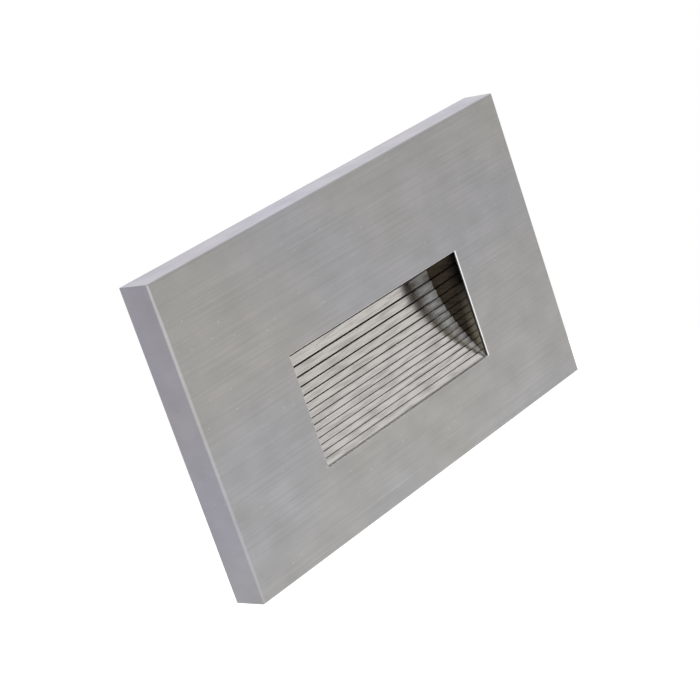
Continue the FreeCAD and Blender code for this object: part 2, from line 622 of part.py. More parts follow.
def make_housing():
    """The cast box: flange, front pocket for the lamp parts, partition, rear chamber, bosses and posts."""
    outer_x, outer_z = HOUSING_WIDTH / 2, HOUSING_HEIGHT / 2
    shell = centred(outer_x, (YOKE_BACK_Y, HOUSING_REAR), outer_z)
    long_edges = [e for e in shell.Edges if e.BoundBox.YLength > HOUSING_REAR]
    shell = shell.makeFillet(min(2.0, HOUSING_WALL), long_edges)
    flange = centred(FLANGE_X, (YOKE_BACK_Y, 0), FLANGE_Z)
    front_pocket = centred(HOUSING_INNER_X, (YOKE_BACK_Y, PARTITION_FRONT), HOUSING_INNER_Z)
    rear_chamber = centred(HOUSING_INNER_X, (PARTITION_BACK_Y, HOUSING_REAR), HOUSING_INNER_Z)
    body = without(joined([shell, flange]), [front_pocket, rear_chamber])
    added, holes = [], []
    for x, z in corners(CORNER_SCREW_SPACING):
        block_x = sorted((math.copysign(outer_x - CORNER_BLOCK[0], x), math.copysign(outer_x - 0.2, x)))
        block_z = sorted((math.copysign(outer_z - CORNER_BLOCK[1], z), math.copysign(outer_z - 0.2, z)))
        added.append(block(block_x, (YOKE_BACK_Y, PARTITION_FRONT + 0.5), block_z))
        holes.append(pin_y(x, z, (YOKE_BACK_Y, PARTITION_BACK_Y), SMALL_HOLE))
    for x, z in corners(COVER_SCREW_SPACING):
        added.append(pin_y(x, z, (PARTITION_BACK_Y - 0.5, HOUSING_REAR), COVER_BOSS_RADIUS))
        holes.append(pin_y(x, z, (HOUSING_REAR - 11.0, HOUSING_REAR), SMALL_HOLE))
    for x, z in corners(POST_SPACING):
        added.append(pin_y(x, z, (PARTITION_BACK_Y - 0.5, DRIVER_FRONT_Y), POST_RADIUS))
        holes.append(pin_y(x, z, (DRIVER_FRONT_Y - 6.0, DRIVER_FRONT_Y), TINY_HOLE))
    for side in (-1, 1):
        holes.append(pin_y(side * EAR_X, -EAR_DROP, (YOKE_BACK_Y, EAR_SCREW_END_Y + SLIDE_GAP), TINY_HOLE))
        x = side * HEAT_SCREW_SPACING / 2
        added.append(pin_y(x, HEAT_SCREW_Z, (PARTITION_BACK_Y - 0.5, PARTITION_BACK_Y + HEAT_BOSS_LENGTH),
                           HEAT_BOSS_RADIUS))
        holes.append(pin_y(x, HEAT_SCREW_Z, (PARTITION_FRONT, PARTITION_BACK_Y + HEAT_BOSS_LENGTH),
                           HEAT_HOLE))
    holes.append(pin_y(GROMMET_X, GROMMET_Z, (PARTITION_FRONT, PARTITION_BACK_Y), GROMMET_NECK + FIT_GAP / 2))
    return without(joined([body] + added), holes)


def make_yoke_screws():
    """The four screws that hold the housing to the yoke."""
    length = PARTITION_BACK_Y - YOKE_FRONT_Y - 0.3
    return [screw_back(x, z, YOKE_FRONT_Y, length, SMALL_SCREW) for x, z in corners(CORNER_SCREW_SPACING)]


def make_lead_grommet():
    """The rubber grommet in the partition that the lamp's leads pass through."""
    solids = [pin_y(GROMMET_X, GROMMET_Z, GROMMET_Y, GROMMET_NECK),
              pin_y(GROMMET_X, GROMMET_Z, (GROMMET_Y[0], PARTITION_FRONT), GROMMET_FLANGE),
              pin_y(GROMMET_X, GROMMET_Z, (PARTITION_BACK_Y, GROMMET_Y[1]), GROMMET_FLANGE)]
    bore = pin_y(GROMMET_X, GROMMET_Z, GROMMET_Y, GROMMET_BORE)
    return without(joined(solids), [bore])


def make_insulation_sheet():
    """The insulating sheet on the partition's back, cut round every boss, post and the grommet."""
    depth = (PARTITION_BACK_Y, PARTITION_BACK_Y + INSULATION)
    sheet = centred(HOUSING_INNER_X - CAST_GAP, depth, HOUSING_INNER_Z - CAST_GAP)
    holes = [pin_y(x, z, depth, COVER_BOSS_RADIUS + CAST_GAP) for x, z in corners(COVER_SCREW_SPACING)]
    holes += [pin_y(x, z, depth, POST_RADIUS + CAST_GAP) for x, z in corners(POST_SPACING)]
    holes += [pin_y(side * HEAT_SCREW_SPACING / 2, HEAT_SCREW_Z, depth, HEAT_BOSS_RADIUS + CAST_GAP)
              for side in (-1, 1)]
    holes += [pin_y(x, z, depth, SMALL_SCREW[0] + CAST_GAP) for x, z in corners(CORNER_SCREW_SPACING)]
    holes.append(pin_y(GROMMET_X, GROMMET_Z, depth, GROMMET_FLANGE + CAST_GAP))
    corner_cuts = [block(sorted((math.copysign(HOUSING_INNER_X, x), math.copysign(abs(x), x))), depth,
                         sorted((math.copysign(HOUSING_INNER_Z, z), math.copysign(abs(z), z))))
                   for x, z in corners(COVER_SCREW_SPACING)]
    return without(sheet, holes + corner_cuts)


def make_cover_gasket():
    """The rubber ring between the housing and the rear cover."""
    depth = (HOUSING_REAR, COVER_GASKET_BACK_Y)
    outer = centred(HOUSING_WIDTH / 2 - 0.4, depth, HOUSING_HEIGHT / 2 - 0.4)
    inner = centred(HOUSING_WIDTH / 2 - 0.4 - COVER_GASKET_WIDTH, depth,
                    HOUSING_HEIGHT / 2 - 0.4 - COVER_GASKET_WIDTH)
    return without(outer, [inner] + [pin_y(x, z, depth, COVER_BOSS_RADIUS + FIT_GAP)
                                     for x, z in corners(COVER_SCREW_SPACING)])


def make_rear_cover():
    """The rear cover, with stop pads at its screws and a collar round the terminal block."""
    plate = centred(HOUSING_WIDTH / 2, (COVER_GASKET_BACK_Y, COVER_BACK_Y), HOUSING_HEIGHT / 2)
    long_edges = [e for e in plate.Edges if abs(e.BoundBox.YLength - COVER_THICKNESS) < 1e-6]
    plate = plate.makeFillet(min(2.0, HOUSING_WALL), long_edges)
    half_x = TERMINAL_HALF_WIDTH + FIT_GAP
    window_z = (TERMINAL_BOTTOM - FIT_GAP, TERMINAL_BOTTOM + TERMINAL_DEPTH + FIT_GAP)
    wall, rise = COVER_COLLAR
    collar = block((-half_x - wall, half_x + wall), (COVER_GASKET_BACK_Y, COVER_BACK_Y + rise),
                   (window_z[0] - wall, window_z[1] + wall))
    pads = [pin_y(x, z, (HOUSING_REAR, COVER_BACK_Y), COVER_BOSS_RADIUS)
            for x, z in corners(COVER_SCREW_SPACING)]
    window = block((-half_x, half_x), (COVER_GASKET_BACK_Y, COVER_BACK_Y + rise), window_z)
    holes = [pin_y(x, z, (HOUSING_REAR, COVER_BACK_Y), SMALL_HOLE)
             for x, z in corners(COVER_SCREW_SPACING)]
    return without(joined([plate, collar] + pads), [window] + holes)


def make_rear_cover_screws():
    """The four screws that close the rear cover."""
    return [screw_front(x, z, COVER_BACK_Y, 12.0, SMALL_SCREW) for x, z in corners(COVER_SCREW_SPACING)]


# ================= driver =================

def make_driver_board():
    """The driver's circuit board, drilled for its screws and the terminal pins."""
    board = centred(BOARD_WIDTH / 2, (DRIVER_FRONT_Y, DRIVER_BACK_Y), BOARD_HEIGHT / 2)
    depth = (DRIVER_FRONT_Y, DRIVER_BACK_Y)
    holes = [pin_y(x, z, depth, TINY_HOLE) for x, z in corners(POST_SPACING)]
    holes += [block((x - BUSBAR_PIN / 2 - FIT_GAP, x + BUSBAR_PIN / 2 + FIT_GAP), depth,
                    (PIN_Z[0] - FIT_GAP, PIN_Z[1] + FIT_GAP)) for x in POLE_X]
    return without(board, holes)


def make_driver_board_screws():
    """The four screws through the driver board into its posts."""
    return [screw_front(x, z, DRIVER_BACK_Y, DRIVER_BOARD + 4.5, (TINY_SCREW[0], TINY_SCREW[1], 1.2))
            for x, z in corners(POST_SPACING)]


def on_board(x, z, size_x, size_z, height):
    """A block that stands on the driver board's front face."""
    return block((x - size_x / 2, x + size_x / 2), (DRIVER_FRONT_Y - height, DRIVER_FRONT_Y),
                 (z - size_z / 2, z + size_z / 2))


def can_on_board(x, z, radius, height):
    """A round can that stands on the driver board, with a rolled groove near its foot."""
    can = pin_y(x, z, (DRIVER_FRONT_Y - height, DRIVER_FRONT_Y), radius)
    groove_y = DRIVER_FRONT_Y - 0.14 * height
    ring = Part.makeTorus(radius + 0.15, 0.45, V(x, groove_y, z), V(0, 1, 0))
    rim = can.Edges[rim_edge(can, 1, DRIVER_FRONT_Y - height)]
    return can.makeFillet(0.5, [rim]).cut(ring)


def board_spot(share_x, share_z):
    """A place on the driver board, as shares of its half width and half height."""
    return share_x * BOARD_WIDTH / 2, share_z * BOARD_HEIGHT / 2


TRANSFORMER_AT = board_spot(0.0, 0.3)
TRANSFORMER_CORE = (13.0, 5.6, 11.6)
TRANSFORMER_WINDOW = (2.5, 6.6)
TRANSFORMER_LEG = 1.4
WINDING_LENGTH = 12.0
INPUT_CAPACITOR = (4.0, 12.5)
OUTPUT_CAPACITOR = (3.15, 11.0)
FILM_CAPACITOR = (13.0, 5.0, 10.5)
DRUM = (4.0, 3.5, 8.6, 1.2)
VARISTOR = (3.6, 3.0)
RESISTOR = (1.5, 8.0, 11.6)
RESISTOR_LIFT = 1.9
BRIDGE = (4.7, 4.0, 2.7)
CHIP = (4.9, 3.9, 1.6)
CHIP_LEG_PITCH = 1.27
WIRE = 0.35


def make_transformer_core():
    """The ferrite core: a frame with a middle leg, its two windows open along Z."""
    width, thick, height = TRANSFORMER_CORE
    x, z = TRANSFORMER_AT
    core = on_board(x, z, width, thick, height)
    window_x, window_y = TRANSFORMER_WINDOW
    middle_y = DRIVER_FRONT_Y - height / 2
    cutters = []
    for side in (-1, 1):
        centre = x + side * (width / 2 - TRANSFORMER_LEG - window_x / 2)
        cutters.append(block((centre - window_x / 2, centre + window_x / 2),
                             (middle_y - window_y / 2, middle_y + window_y / 2),
                             (z - thick / 2, z + thick / 2)))
    return core.cut(cutters)


def make_transformer_winding():
    """The taped winding on the core's middle leg, bulging past the core on both faces."""
    width, thick, height = TRANSFORMER_CORE
    x, z = TRANSFORMER_AT
    window_x, window_y = TRANSFORMER_WINDOW
    middle_y = DRIVER_FRONT_Y - height / 2
    leg_half = width / 2 - TRANSFORMER_LEG - window_x
    half_y = window_y / 2 - FIT_GAP
    half_x = width / 2 - TRANSFORMER_LEG - FIT_GAP
    outer = block((x - half_x, x + half_x), (middle_y - half_y, middle_y + half_y),
                  (z - WINDING_LENGTH / 2, z + WINDING_LENGTH / 2))
    outer = outer.makeFillet(1.8, [e for e in outer.Edges if e.BoundBox.YLength > 1.9 * half_y])
    core_way = block((x - leg_half - FIT_GAP, x + leg_half + FIT_GAP), (middle_y - half_y, middle_y + half_y),
                     (z - thick / 2 - FIT_GAP, z + thick / 2 + FIT_GAP))
    return outer.cut(core_way)


def make_input_capacitor():
    """The large electrolytic capacitor."""
    return can_on_board(*board_spot(-0.5, 0.45), *INPUT_CAPACITOR)


def make_output_capacitor():
    """The small electrolytic capacitor."""
    return can_on_board(*board_spot(0.48, 0.45), *OUTPUT_CAPACITOR)


def make_film_capacitor():
    """The boxed film capacitor."""
    box = on_board(*board_spot(-0.48, -0.25), *FILM_CAPACITOR)
    return box.makeFillet(0.4, [e for e in box.Edges if e.BoundBox.YMin < DRIVER_FRONT_Y - 1])


def make_drum_inductor():
    """The drum-core inductor: two flanges and a wound waist."""
    x, z = board_spot(0.46, -0.22)
    flange_radius, waist_radius, height, flange = DRUM
    top = DRIVER_FRONT_Y - height
    foot = pin_y(x, z, (DRIVER_FRONT_Y - flange, DRIVER_FRONT_Y), flange_radius)
    waist = pin_y(x, z, (top + flange, DRIVER_FRONT_Y - flange), waist_radius)
    cap = pin_y(x, z, (top, top + flange), flange_radius)
    return joined([foot, waist, cap])


def make_varistor():
    """The disc varistor, standing on its edge."""
    x, z = board_spot(-0.05, -0.72)
    radius, thick = VARISTOR
    disc = rod("z", x, DRIVER_FRONT_Y - radius - WIRE, z - thick / 2, radius, thick)
    disc = disc.makeFillet(0.3 * thick, [e for e in disc.Edges if e.Curve.TypeId == "Part::GeomCircle"])
    leads = [rod("y", x + side * 0.55 * radius, DRIVER_FRONT_Y - radius, z, WIRE, radius) for side in (-1, 1)]
    return joined([disc] + leads)


def make_fusible_resistor():
    """The axial fusible resistor near the board's bottom edge."""
    x, z = board_spot(-0.46, -0.57)
    radius, length, span = RESISTOR
    level = DRIVER_FRONT_Y - RESISTOR_LIFT
    body = rod("x", x - length / 2, level, z, radius, length)
    body = body.makeFillet(radius / 3, [e for e in body.Edges if e.Curve.TypeId == "Part::GeomCircle"])
    wire = rod("x", x - span / 2, level, z, WIRE, span)
    feet = [rod("y", x + side * span / 2, level, z, WIRE, RESISTOR_LIFT) for side in (-1, 1)]
    return joined([body, wire] + feet)


def make_bridge_rectifier():
    """The bridge rectifier with its four legs."""
    x, z = board_spot(0.0, -0.25)
    wide, deep, height = BRIDGE
    body = on_board(x, z, wide, deep, height).cut(on_board(x, z, wide, deep, FIT_GAP))
    legs = [on_board(x + row * 0.28 * wide, z + side * 0.65 * deep, 2 * WIRE, 0.4 * deep, 0.2 * height)
            for row in (-1, 1) for side in (-1, 1)]
    return joined([body] + legs)


def make_controller_chip():
    """The eight-legged controller chip."""
    x, z = board_spot(0.46, -0.68)
    wide, deep, height = CHIP
    body = on_board(x, z, wide, deep, height).cut(on_board(x, z, wide, deep, FIT_GAP))
    legs = [on_board(x + (i - 1.5) * CHIP_LEG_PITCH, z + side * 0.62 * deep, 0.35 * CHIP_LEG_PITCH,
                     0.36 * deep, 0.3 * height)
            for i in range(4) for side in (-1, 1)]
    return joined([body] + legs)


# ================= terminal block =================

POLE_X = [(i - (len(POLES) - 1) / 2) * POLE_PITCH for i in range(len(POLES))]
TERMINAL_HALF_WIDTH = len(POLES) * POLE_PITCH / 2 + TERMINAL_END_WALL
TERMINAL_BACK_Y = DRIVER_BACK_Y + TERMINAL_HEIGHT
CHAMBER_Z = (TERMINAL_BOTTOM + ENTRY_WALL, TERMINAL_BOTTOM + ENTRY_WALL + CAGE_DEPTH + 2 * CAGE_CLEARANCE)
CLAMP_Z = sum(CHAMBER_Z) / 2
WELL_FLOOR_Y = TERMINAL_BACK_Y - WELL_DEPTH
CHAMBER_TOP_Y = WELL_FLOOR_Y - WEB
CAGE_TOP_Y = CHAMBER_TOP_Y - CAGE_TRAVEL - 2 * FIT_GAP
BUSBAR_TOP_Y = CAGE_TOP_Y - CAGE_WALL - FIT_GAP
BUSBAR_BOTTOM_Y = BUSBAR_TOP_Y - BUSBAR[1]
ENTRY_Y = BUSBAR_BOTTOM_Y - ENTRY_RADIUS
CAGE_WINDOW_BOTTOM_Y = BUSBAR_BOTTOM_Y - 2 * ENTRY_RADIUS
CAGE_BOTTOM_Y = CAGE_WINDOW_BOTTOM_Y - CAGE_WALL
CHAMBER_BOTTOM_Y = CAGE_BOTTOM_Y - 2 * FIT_GAP
PIN_Z = (CHAMBER_Z[1] + 0.3, CHAMBER_Z[1] + 0.3 + BUSBAR_PIN)


def make_terminal_body():
    """The moulded three-pole body: wire entries below, screw wells behind, a chamber for each cage."""
    depth_z = (TERMINAL_BOTTOM, TERMINAL_BOTTOM + TERMINAL_DEPTH)
    body = block((-TERMINAL_HALF_WIDTH, TERMINAL_HALF_WIDTH), (DRIVER_BACK_Y, TERMINAL_BACK_Y), depth_z)
    cutters = []
    half = CAGE_WIDTH / 2 + CAGE_CLEARANCE
    for x in POLE_X:
        cutters.append(block((x - half, x + half), (CHAMBER_BOTTOM_Y, CHAMBER_TOP_Y), CHAMBER_Z))
        cutters.append(rod("z", x, ENTRY_Y, TERMINAL_BOTTOM, ENTRY_RADIUS, ENTRY_WALL))
        cutters.append(pin_y(x, CLAMP_Z, (WELL_FLOOR_Y, TERMINAL_BACK_Y), CLAMP_HEAD[0] + 2 * FIT_GAP))
        cutters.append(pin_y(x, CLAMP_Z, (CHAMBER_TOP_Y, WELL_FLOOR_Y), CLAMP_SCREW_RADIUS + SLIDE_GAP))
        cutters.append(block((x - BUSBAR[0] / 2 - FIT_GAP, x + BUSBAR[0] / 2 + FIT_GAP),
                             (BUSBAR_BOTTOM_Y - FIT_GAP, BUSBAR_TOP_Y + FIT_GAP),
                             (CHAMBER_Z[1], PIN_Z[1] + FIT_GAP)))
        cutters.append(block((x - BUSBAR_PIN / 2 - FIT_GAP, x + BUSBAR_PIN / 2 + FIT_GAP),
                             (DRIVER_BACK_Y, BUSBAR_TOP_Y), (PIN_Z[0] - FIT_GAP, PIN_Z[1] + FIT_GAP)))
    return without(body, cutters)


def make_terminal_busbars():
    """The three contact tongues, each with a pin down through the driver board."""
    solids = []
    for x in POLE_X:
        tongue = block((x - BUSBAR[0] / 2, x + BUSBAR[0] / 2), (BUSBAR_BOTTOM_Y, BUSBAR_TOP_Y),
                       (CHAMBER_Z[0] + FIT_GAP, PIN_Z[1]))
        pin = block((x - BUSBAR_PIN / 2, x + BUSBAR_PIN / 2), (DRIVER_FRONT_Y - 0.8, BUSBAR_TOP_Y), PIN_Z)
        solids.append(joined([tongue, pin]))
    return solids


def make_clamp_cage(x):
    """A square wire cage that rises along the screw and pinches the wire under the busbar."""
    half_x, half_z = CAGE_WIDTH / 2, CAGE_DEPTH / 2
    cage = block((x - half_x, x + half_x), (CAGE_BOTTOM_Y, CAGE_TOP_Y), (CLAMP_Z - half_z, CLAMP_Z + half_z))
    window = block((x - half_x + CAGE_SIDE, x + half_x - CAGE_SIDE),
                   (CAGE_WINDOW_BOTTOM_Y, CAGE_TOP_Y - CAGE_WALL), (CLAMP_Z - half_z, CLAMP_Z + half_z))
    thread = pin_y(x, CLAMP_Z, (CAGE_TOP_Y - CAGE_WALL, CAGE_TOP_Y), CLAMP_SCREW_RADIUS + SCREW_GAP)
    return without(cage, [window, thread])


def make_clamp_screw(x):
    """A slotted clamp screw, held between the well's floor and the busbar."""
    head_radius, head_height = CLAMP_HEAD
    head_y = (WELL_FLOOR_Y + FIT_GAP, WELL_FLOOR_Y + FIT_GAP + head_height)
    head = pin_y(x, CLAMP_Z, head_y, head_radius)
    shank = pin_y(x, CLAMP_Z, (BUSBAR_TOP_Y + FIT_GAP, head_y[0]), CLAMP_SCREW_RADIUS)
    slot = block((x - head_radius, x + head_radius), (head_y[1] - CLAMP_SLOT[1], head_y[1]),
                 (CLAMP_Z - CLAMP_SLOT[0] / 2, CLAMP_Z + CLAMP_SLOT[0] / 2))
    return without(joined([head, shank]), [slot])


# ================= leads =================

def lead_points(start_y, turn_x, bore_dz, foot_x):
    """The route of one lead: along the lamp board's end, back through the grommet, to the driver board."""
    strip_z = LAMP_BOARD_Z - LEAD_RADIUS - SCREW_GAP
    bore_z = GROMMET_Z + bore_dz
    return [(FRAME_HALF_WIDTH - 3.0, start_y, strip_z),
            (turn_x, start_y, strip_z),
            (turn_x, 1.2, bore_z + 0.6),
            (GROMMET_X, PARTITION_FRONT - 0.4, bore_z),
            (GROMMET_X, PARTITION_BACK_Y + 1.6, bore_z),
            (foot_x, 12.0, bore_z - 0.5),
            (foot_x, DRIVER_FRONT_Y, bore_z - 0.5)]


def make_lead(points):
    """One insulated lead."""
    return tube(points, LEAD_RADIUS)


# ================= everything =================

def build_all():
    """Every node's name and its shape, or its list of equal solids."""
    nodes = {
        "faceplate": make_faceplate(),
        "yoke": make_yoke(),
        "wall_gasket": make_wall_gasket(),
        "screw_retainers": [make_screw_retainer(side) for side in (-1, 1)],
        "reflector": make_reflector(),
        "reflector_screws": make_reflector_screws(),
        "lens": make_lens(),
        "lens_gasket": make_lens_gasket(),
        "lens_frame": make_lens_frame(),
        "lens_frame_screws": make_frame_screws(),
        "lamp_board": make_lamp_board(),
        "lamp_chips": make_lamp_chips(),
        "heat_sink": make_heat_sink(),
        "heat_sink_screws": make_heat_sink_screws(),
        "thermal_pad": make_thermal_pad(),
        "housing": make_housing(),
        "yoke_screws": make_yoke_screws(),
        "lead_grommet": make_lead_grommet(),
        "insulation_sheet": make_insulation_sheet(),
        "cover_gasket": make_cover_gasket(),
        "rear_cover": make_rear_cover(),
        "rear_cover_screws": make_rear_cover_screws(),
        "driver_board": make_driver_board(),
        "driver_board_screws": make_driver_board_screws(),
        "transformer_core": make_transformer_core(),
        "transformer_winding": make_transformer_winding(),
        "input_capacitor": make_input_capacitor(),
        "output_capacitor": make_output_capacitor(),
        "film_capacitor": make_film_capacitor(),
        "drum_inductor": make_drum_inductor(),
        "varistor": make_varistor(),
        "fusible_resistor": make_fusible_resistor(),
        "bridge_rectifier": make_bridge_rectifier(),
        "controller_chip": make_controller_chip(),
        "terminal_body": make_terminal_body(),
        "terminal_busbars": make_terminal_busbars(),
        "lead_red": make_lead(lead_points(LEAD_BACK_Y, GROMMET_X + 0.4, 0.65, GROMMET_X - 5.4)),
        "lead_black": make_lead(lead_points(LEAD_FRONT_Y, GROMMET_X + 1.7, -0.65, GROMMET_X - 7.0)),
    }
    for side, name in ((-1, "left"), (1, "right")):
        nodes["box_screw_" + name] = make_box_screw(side)
        nodes["retaining_spring_" + name] = make_retaining_spring(side)
    for x, pole in zip(POLE_X, POLES):
        nodes["clamp_cage_" + pole] = make_clamp_cage(x)
        nodes["clamp_screw_" + pole] = make_clamp_screw(x)
    return nodes


def main():
    """Writes one STEP file per node."""
    os.makedirs("parts", exist_ok=True)
    for name, made in build_all().items():
        solids = made if isinstance(made, list) else made.Solids
        shape = Part.makeCompound(solids) if len(solids) > 1 else solids[0]
        shape.exportStep("parts/" + name + ".step")
        print(name, len(solids), round(shape.Volume, 2), shape.isValid())


main()
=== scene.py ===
"""The looks of a recessed step light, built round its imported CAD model.

A folded stainless tray frames a bright stepped scoop. Behind it are a steel yoke, a lamp strip, a
cast housing with its driver, and a terminal block. Lengths here are in millimetres until the
moment they enter a mesh, the camera or a lamp, and MM turns them into metres.
"""

import json
import logging
import math
from dataclasses import dataclass, field
from enum import Enum
from functools import lru_cache

import bmesh
import bpy
import numpy as np
from bpy.types import NodeSocket, NodeTree, Object
from mathutils import Matrix, Vector

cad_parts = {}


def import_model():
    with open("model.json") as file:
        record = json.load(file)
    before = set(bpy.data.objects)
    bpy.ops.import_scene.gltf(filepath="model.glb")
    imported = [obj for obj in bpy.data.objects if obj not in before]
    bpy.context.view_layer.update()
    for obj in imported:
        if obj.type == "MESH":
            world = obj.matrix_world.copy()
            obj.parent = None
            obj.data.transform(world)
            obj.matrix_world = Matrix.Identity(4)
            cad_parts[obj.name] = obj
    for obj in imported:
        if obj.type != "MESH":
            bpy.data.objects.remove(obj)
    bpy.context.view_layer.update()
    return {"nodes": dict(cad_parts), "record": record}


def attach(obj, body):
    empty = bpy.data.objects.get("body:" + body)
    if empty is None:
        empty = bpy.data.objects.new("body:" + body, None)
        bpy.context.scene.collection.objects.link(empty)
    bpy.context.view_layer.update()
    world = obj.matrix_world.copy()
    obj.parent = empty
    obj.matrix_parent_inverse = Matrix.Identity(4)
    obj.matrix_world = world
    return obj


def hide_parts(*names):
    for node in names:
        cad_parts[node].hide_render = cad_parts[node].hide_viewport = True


MM = 0.001
MERGE_MM = 0.0002
Triple = tuple[float, float, float]
Nodes = dict[str, Object]
LOG = logging.getLogger("step_light")


def linear(hex_colour: str) -> tuple[float, float, float, float]:
    """Turns an sRGB hex colour into the linear colour that shaders take.

    Args:
        hex_colour: six hex digits, such as "9b9c98".
    Returns:
        Red, green, blue and an alpha of one.
    """
    channels = [int(hex_colour[i:i + 2], 16) / 255 for i in (0, 2, 4)]
    red, green, blue = (c / 12.92 if c <= 0.04045 else ((c + 0.055) / 1.055) ** 2.4 for c in channels)
    return red, green, blue, 1.0


@dataclass
class Tree:
    """The nodes of a finish, the floor or the world."""

    raw: NodeTree

    def add(self, kind: str, inputs: dict | tuple = (), **settings) -> bpy.types.NodeOutputs:
        """Adds one node, sets its properties, and fills its inputs with values or with other nodes' outputs.

        Args:
            kind: the node's type name after the word ShaderNode.
            inputs: plain values or outputs, in order or by input name or index.
            settings: the node's own properties.
        Returns:
            The new node's outputs.
        """
        made = self.raw.nodes.new("ShaderNode" + kind)
        for key, value in settings.items():
            setattr(made, key, value)
        for key, value in inputs.items() if isinstance(inputs, dict) else enumerate(inputs):
            if isinstance(value, NodeSocket):
                self.raw.links.new(value, made.inputs[key])
            else:
                made.inputs[key].default_value = value
        return made.outputs

    def link(self, name: str, value: NodeSocket) -> None:
        """Links an output to an input of the Principled shader."""
        self.raw.links.new(value, self.raw.nodes["Principled BSDF"].inputs[name])

    def set(self, name: str, value: float) -> None:
        """Sets an input of the Principled shader to a number."""
        self.raw.nodes["Principled BSDF"].inputs[name].default_value = value


@dataclass(frozen=True)
class Finish:
    """A surface as it was made: two close colours, its shine, and a grain with a real size."""

    name: str
    colour: str
    shade: str
    roughness: float
    grain_mm: float
    relief_mm: float
    metallic: float = 0.0
    coat: float = 0.0
    spread: float = 0.12
    coat_roughness: float = 0.08

    @lru_cache(maxsize=None)
    def material(self) -> bpy.types.Material:
        """Builds the material once.

        Returns:
            The material, with its pattern on the piece's own coordinates in millimetres.
        """
        made = bpy.data.materials.new(self.name)
        made.use_nodes = True
        tree = Tree(made.node_tree)
        tree.set("Metallic", self.metallic)
        tree.set("Coat Weight", self.coat)
        tree.set("Coat Roughness", self.coat_roughness)
        self.pattern(tree)
        return made

    def shine(self) -> tuple[float, float]:
        """The roughness less its spread, and with its spread added."""
        return self.roughness * (1 - self.spread), self.roughness * (1 + self.spread)

    def place(self, tree: Tree) -> NodeSocket:
        """Object coordinates turned from metres into millimetres."""
        spot = tree.add("TexCoord")["Object"]
        return tree.add("Mapping", {"Vector": spot, "Scale": (1 / MM,) * 3})[0]

    def noise(self, tree: Tree, place: NodeSocket, size: Triple, detail: float = 2.0) -> NodeSocket:
        """Noise whose blobs have a given size in millimetres along each axis.

        Args:
            tree: the material's nodes.
            place: coordinates in millimetres.
            size: how long a blob is along each axis.
            detail: octaves of finer noise.
        Returns:
            The noise's factor.
        """
        squeezed = tree.add("Mapping", {"Vector": place, "Scale": tuple(1 / s for s in size)})[0]
        return tree.add("TexNoise", {"Vector": squeezed, "Scale": 1.0, "Detail": detail})["Fac"]

    def pattern(self, tree: Tree) -> None:
        """Links a fine grain to colour, roughness and relief, and a patch ten times larger to colour.

        Args:
            tree: the material's nodes.
        """
        place = self.place(tree)
        grain = self.noise(tree, place, (self.grain_mm,) * 3, 3.0)
        patch = self.noise(tree, place, (10 * self.grain_mm,) * 3)
        amount = tree.add("Math", (grain, patch), operation="MULTIPLY")[0]
        amount = tree.add("MapRange", (amount, 0.12, 0.42, 0.0, 1.0))[0]
        rough = tree.add("MapRange", (grain, 0.3, 0.7, *self.shine()))[0]
        self.connect(tree, amount, rough, grain)

    def connect(self, tree: Tree, amount: NodeSocket, rough: NodeSocket, height: NodeSocket) -> None:
        """Links colour and roughness, and a height from zero to one as a bump in millimetres.

        Args:
            tree: the material's nodes.
            amount: how far the colour goes to the shade, or a colour that is already mixed.
            rough: the roughness.
            height: the height, which the relief multiplies.
        """
        if amount.type != "RGBA":
            amount = tree.add("Mix", {0: amount, 6: linear(self.colour), 7: linear(self.shade)},
                              data_type="RGBA")[2]
        tree.link("Base Color", amount)
        tree.link("Roughness", rough)
        tree.link("Normal", tree.add("Bump", {"Height": height, "Distance": self.relief_mm * MM})[0])


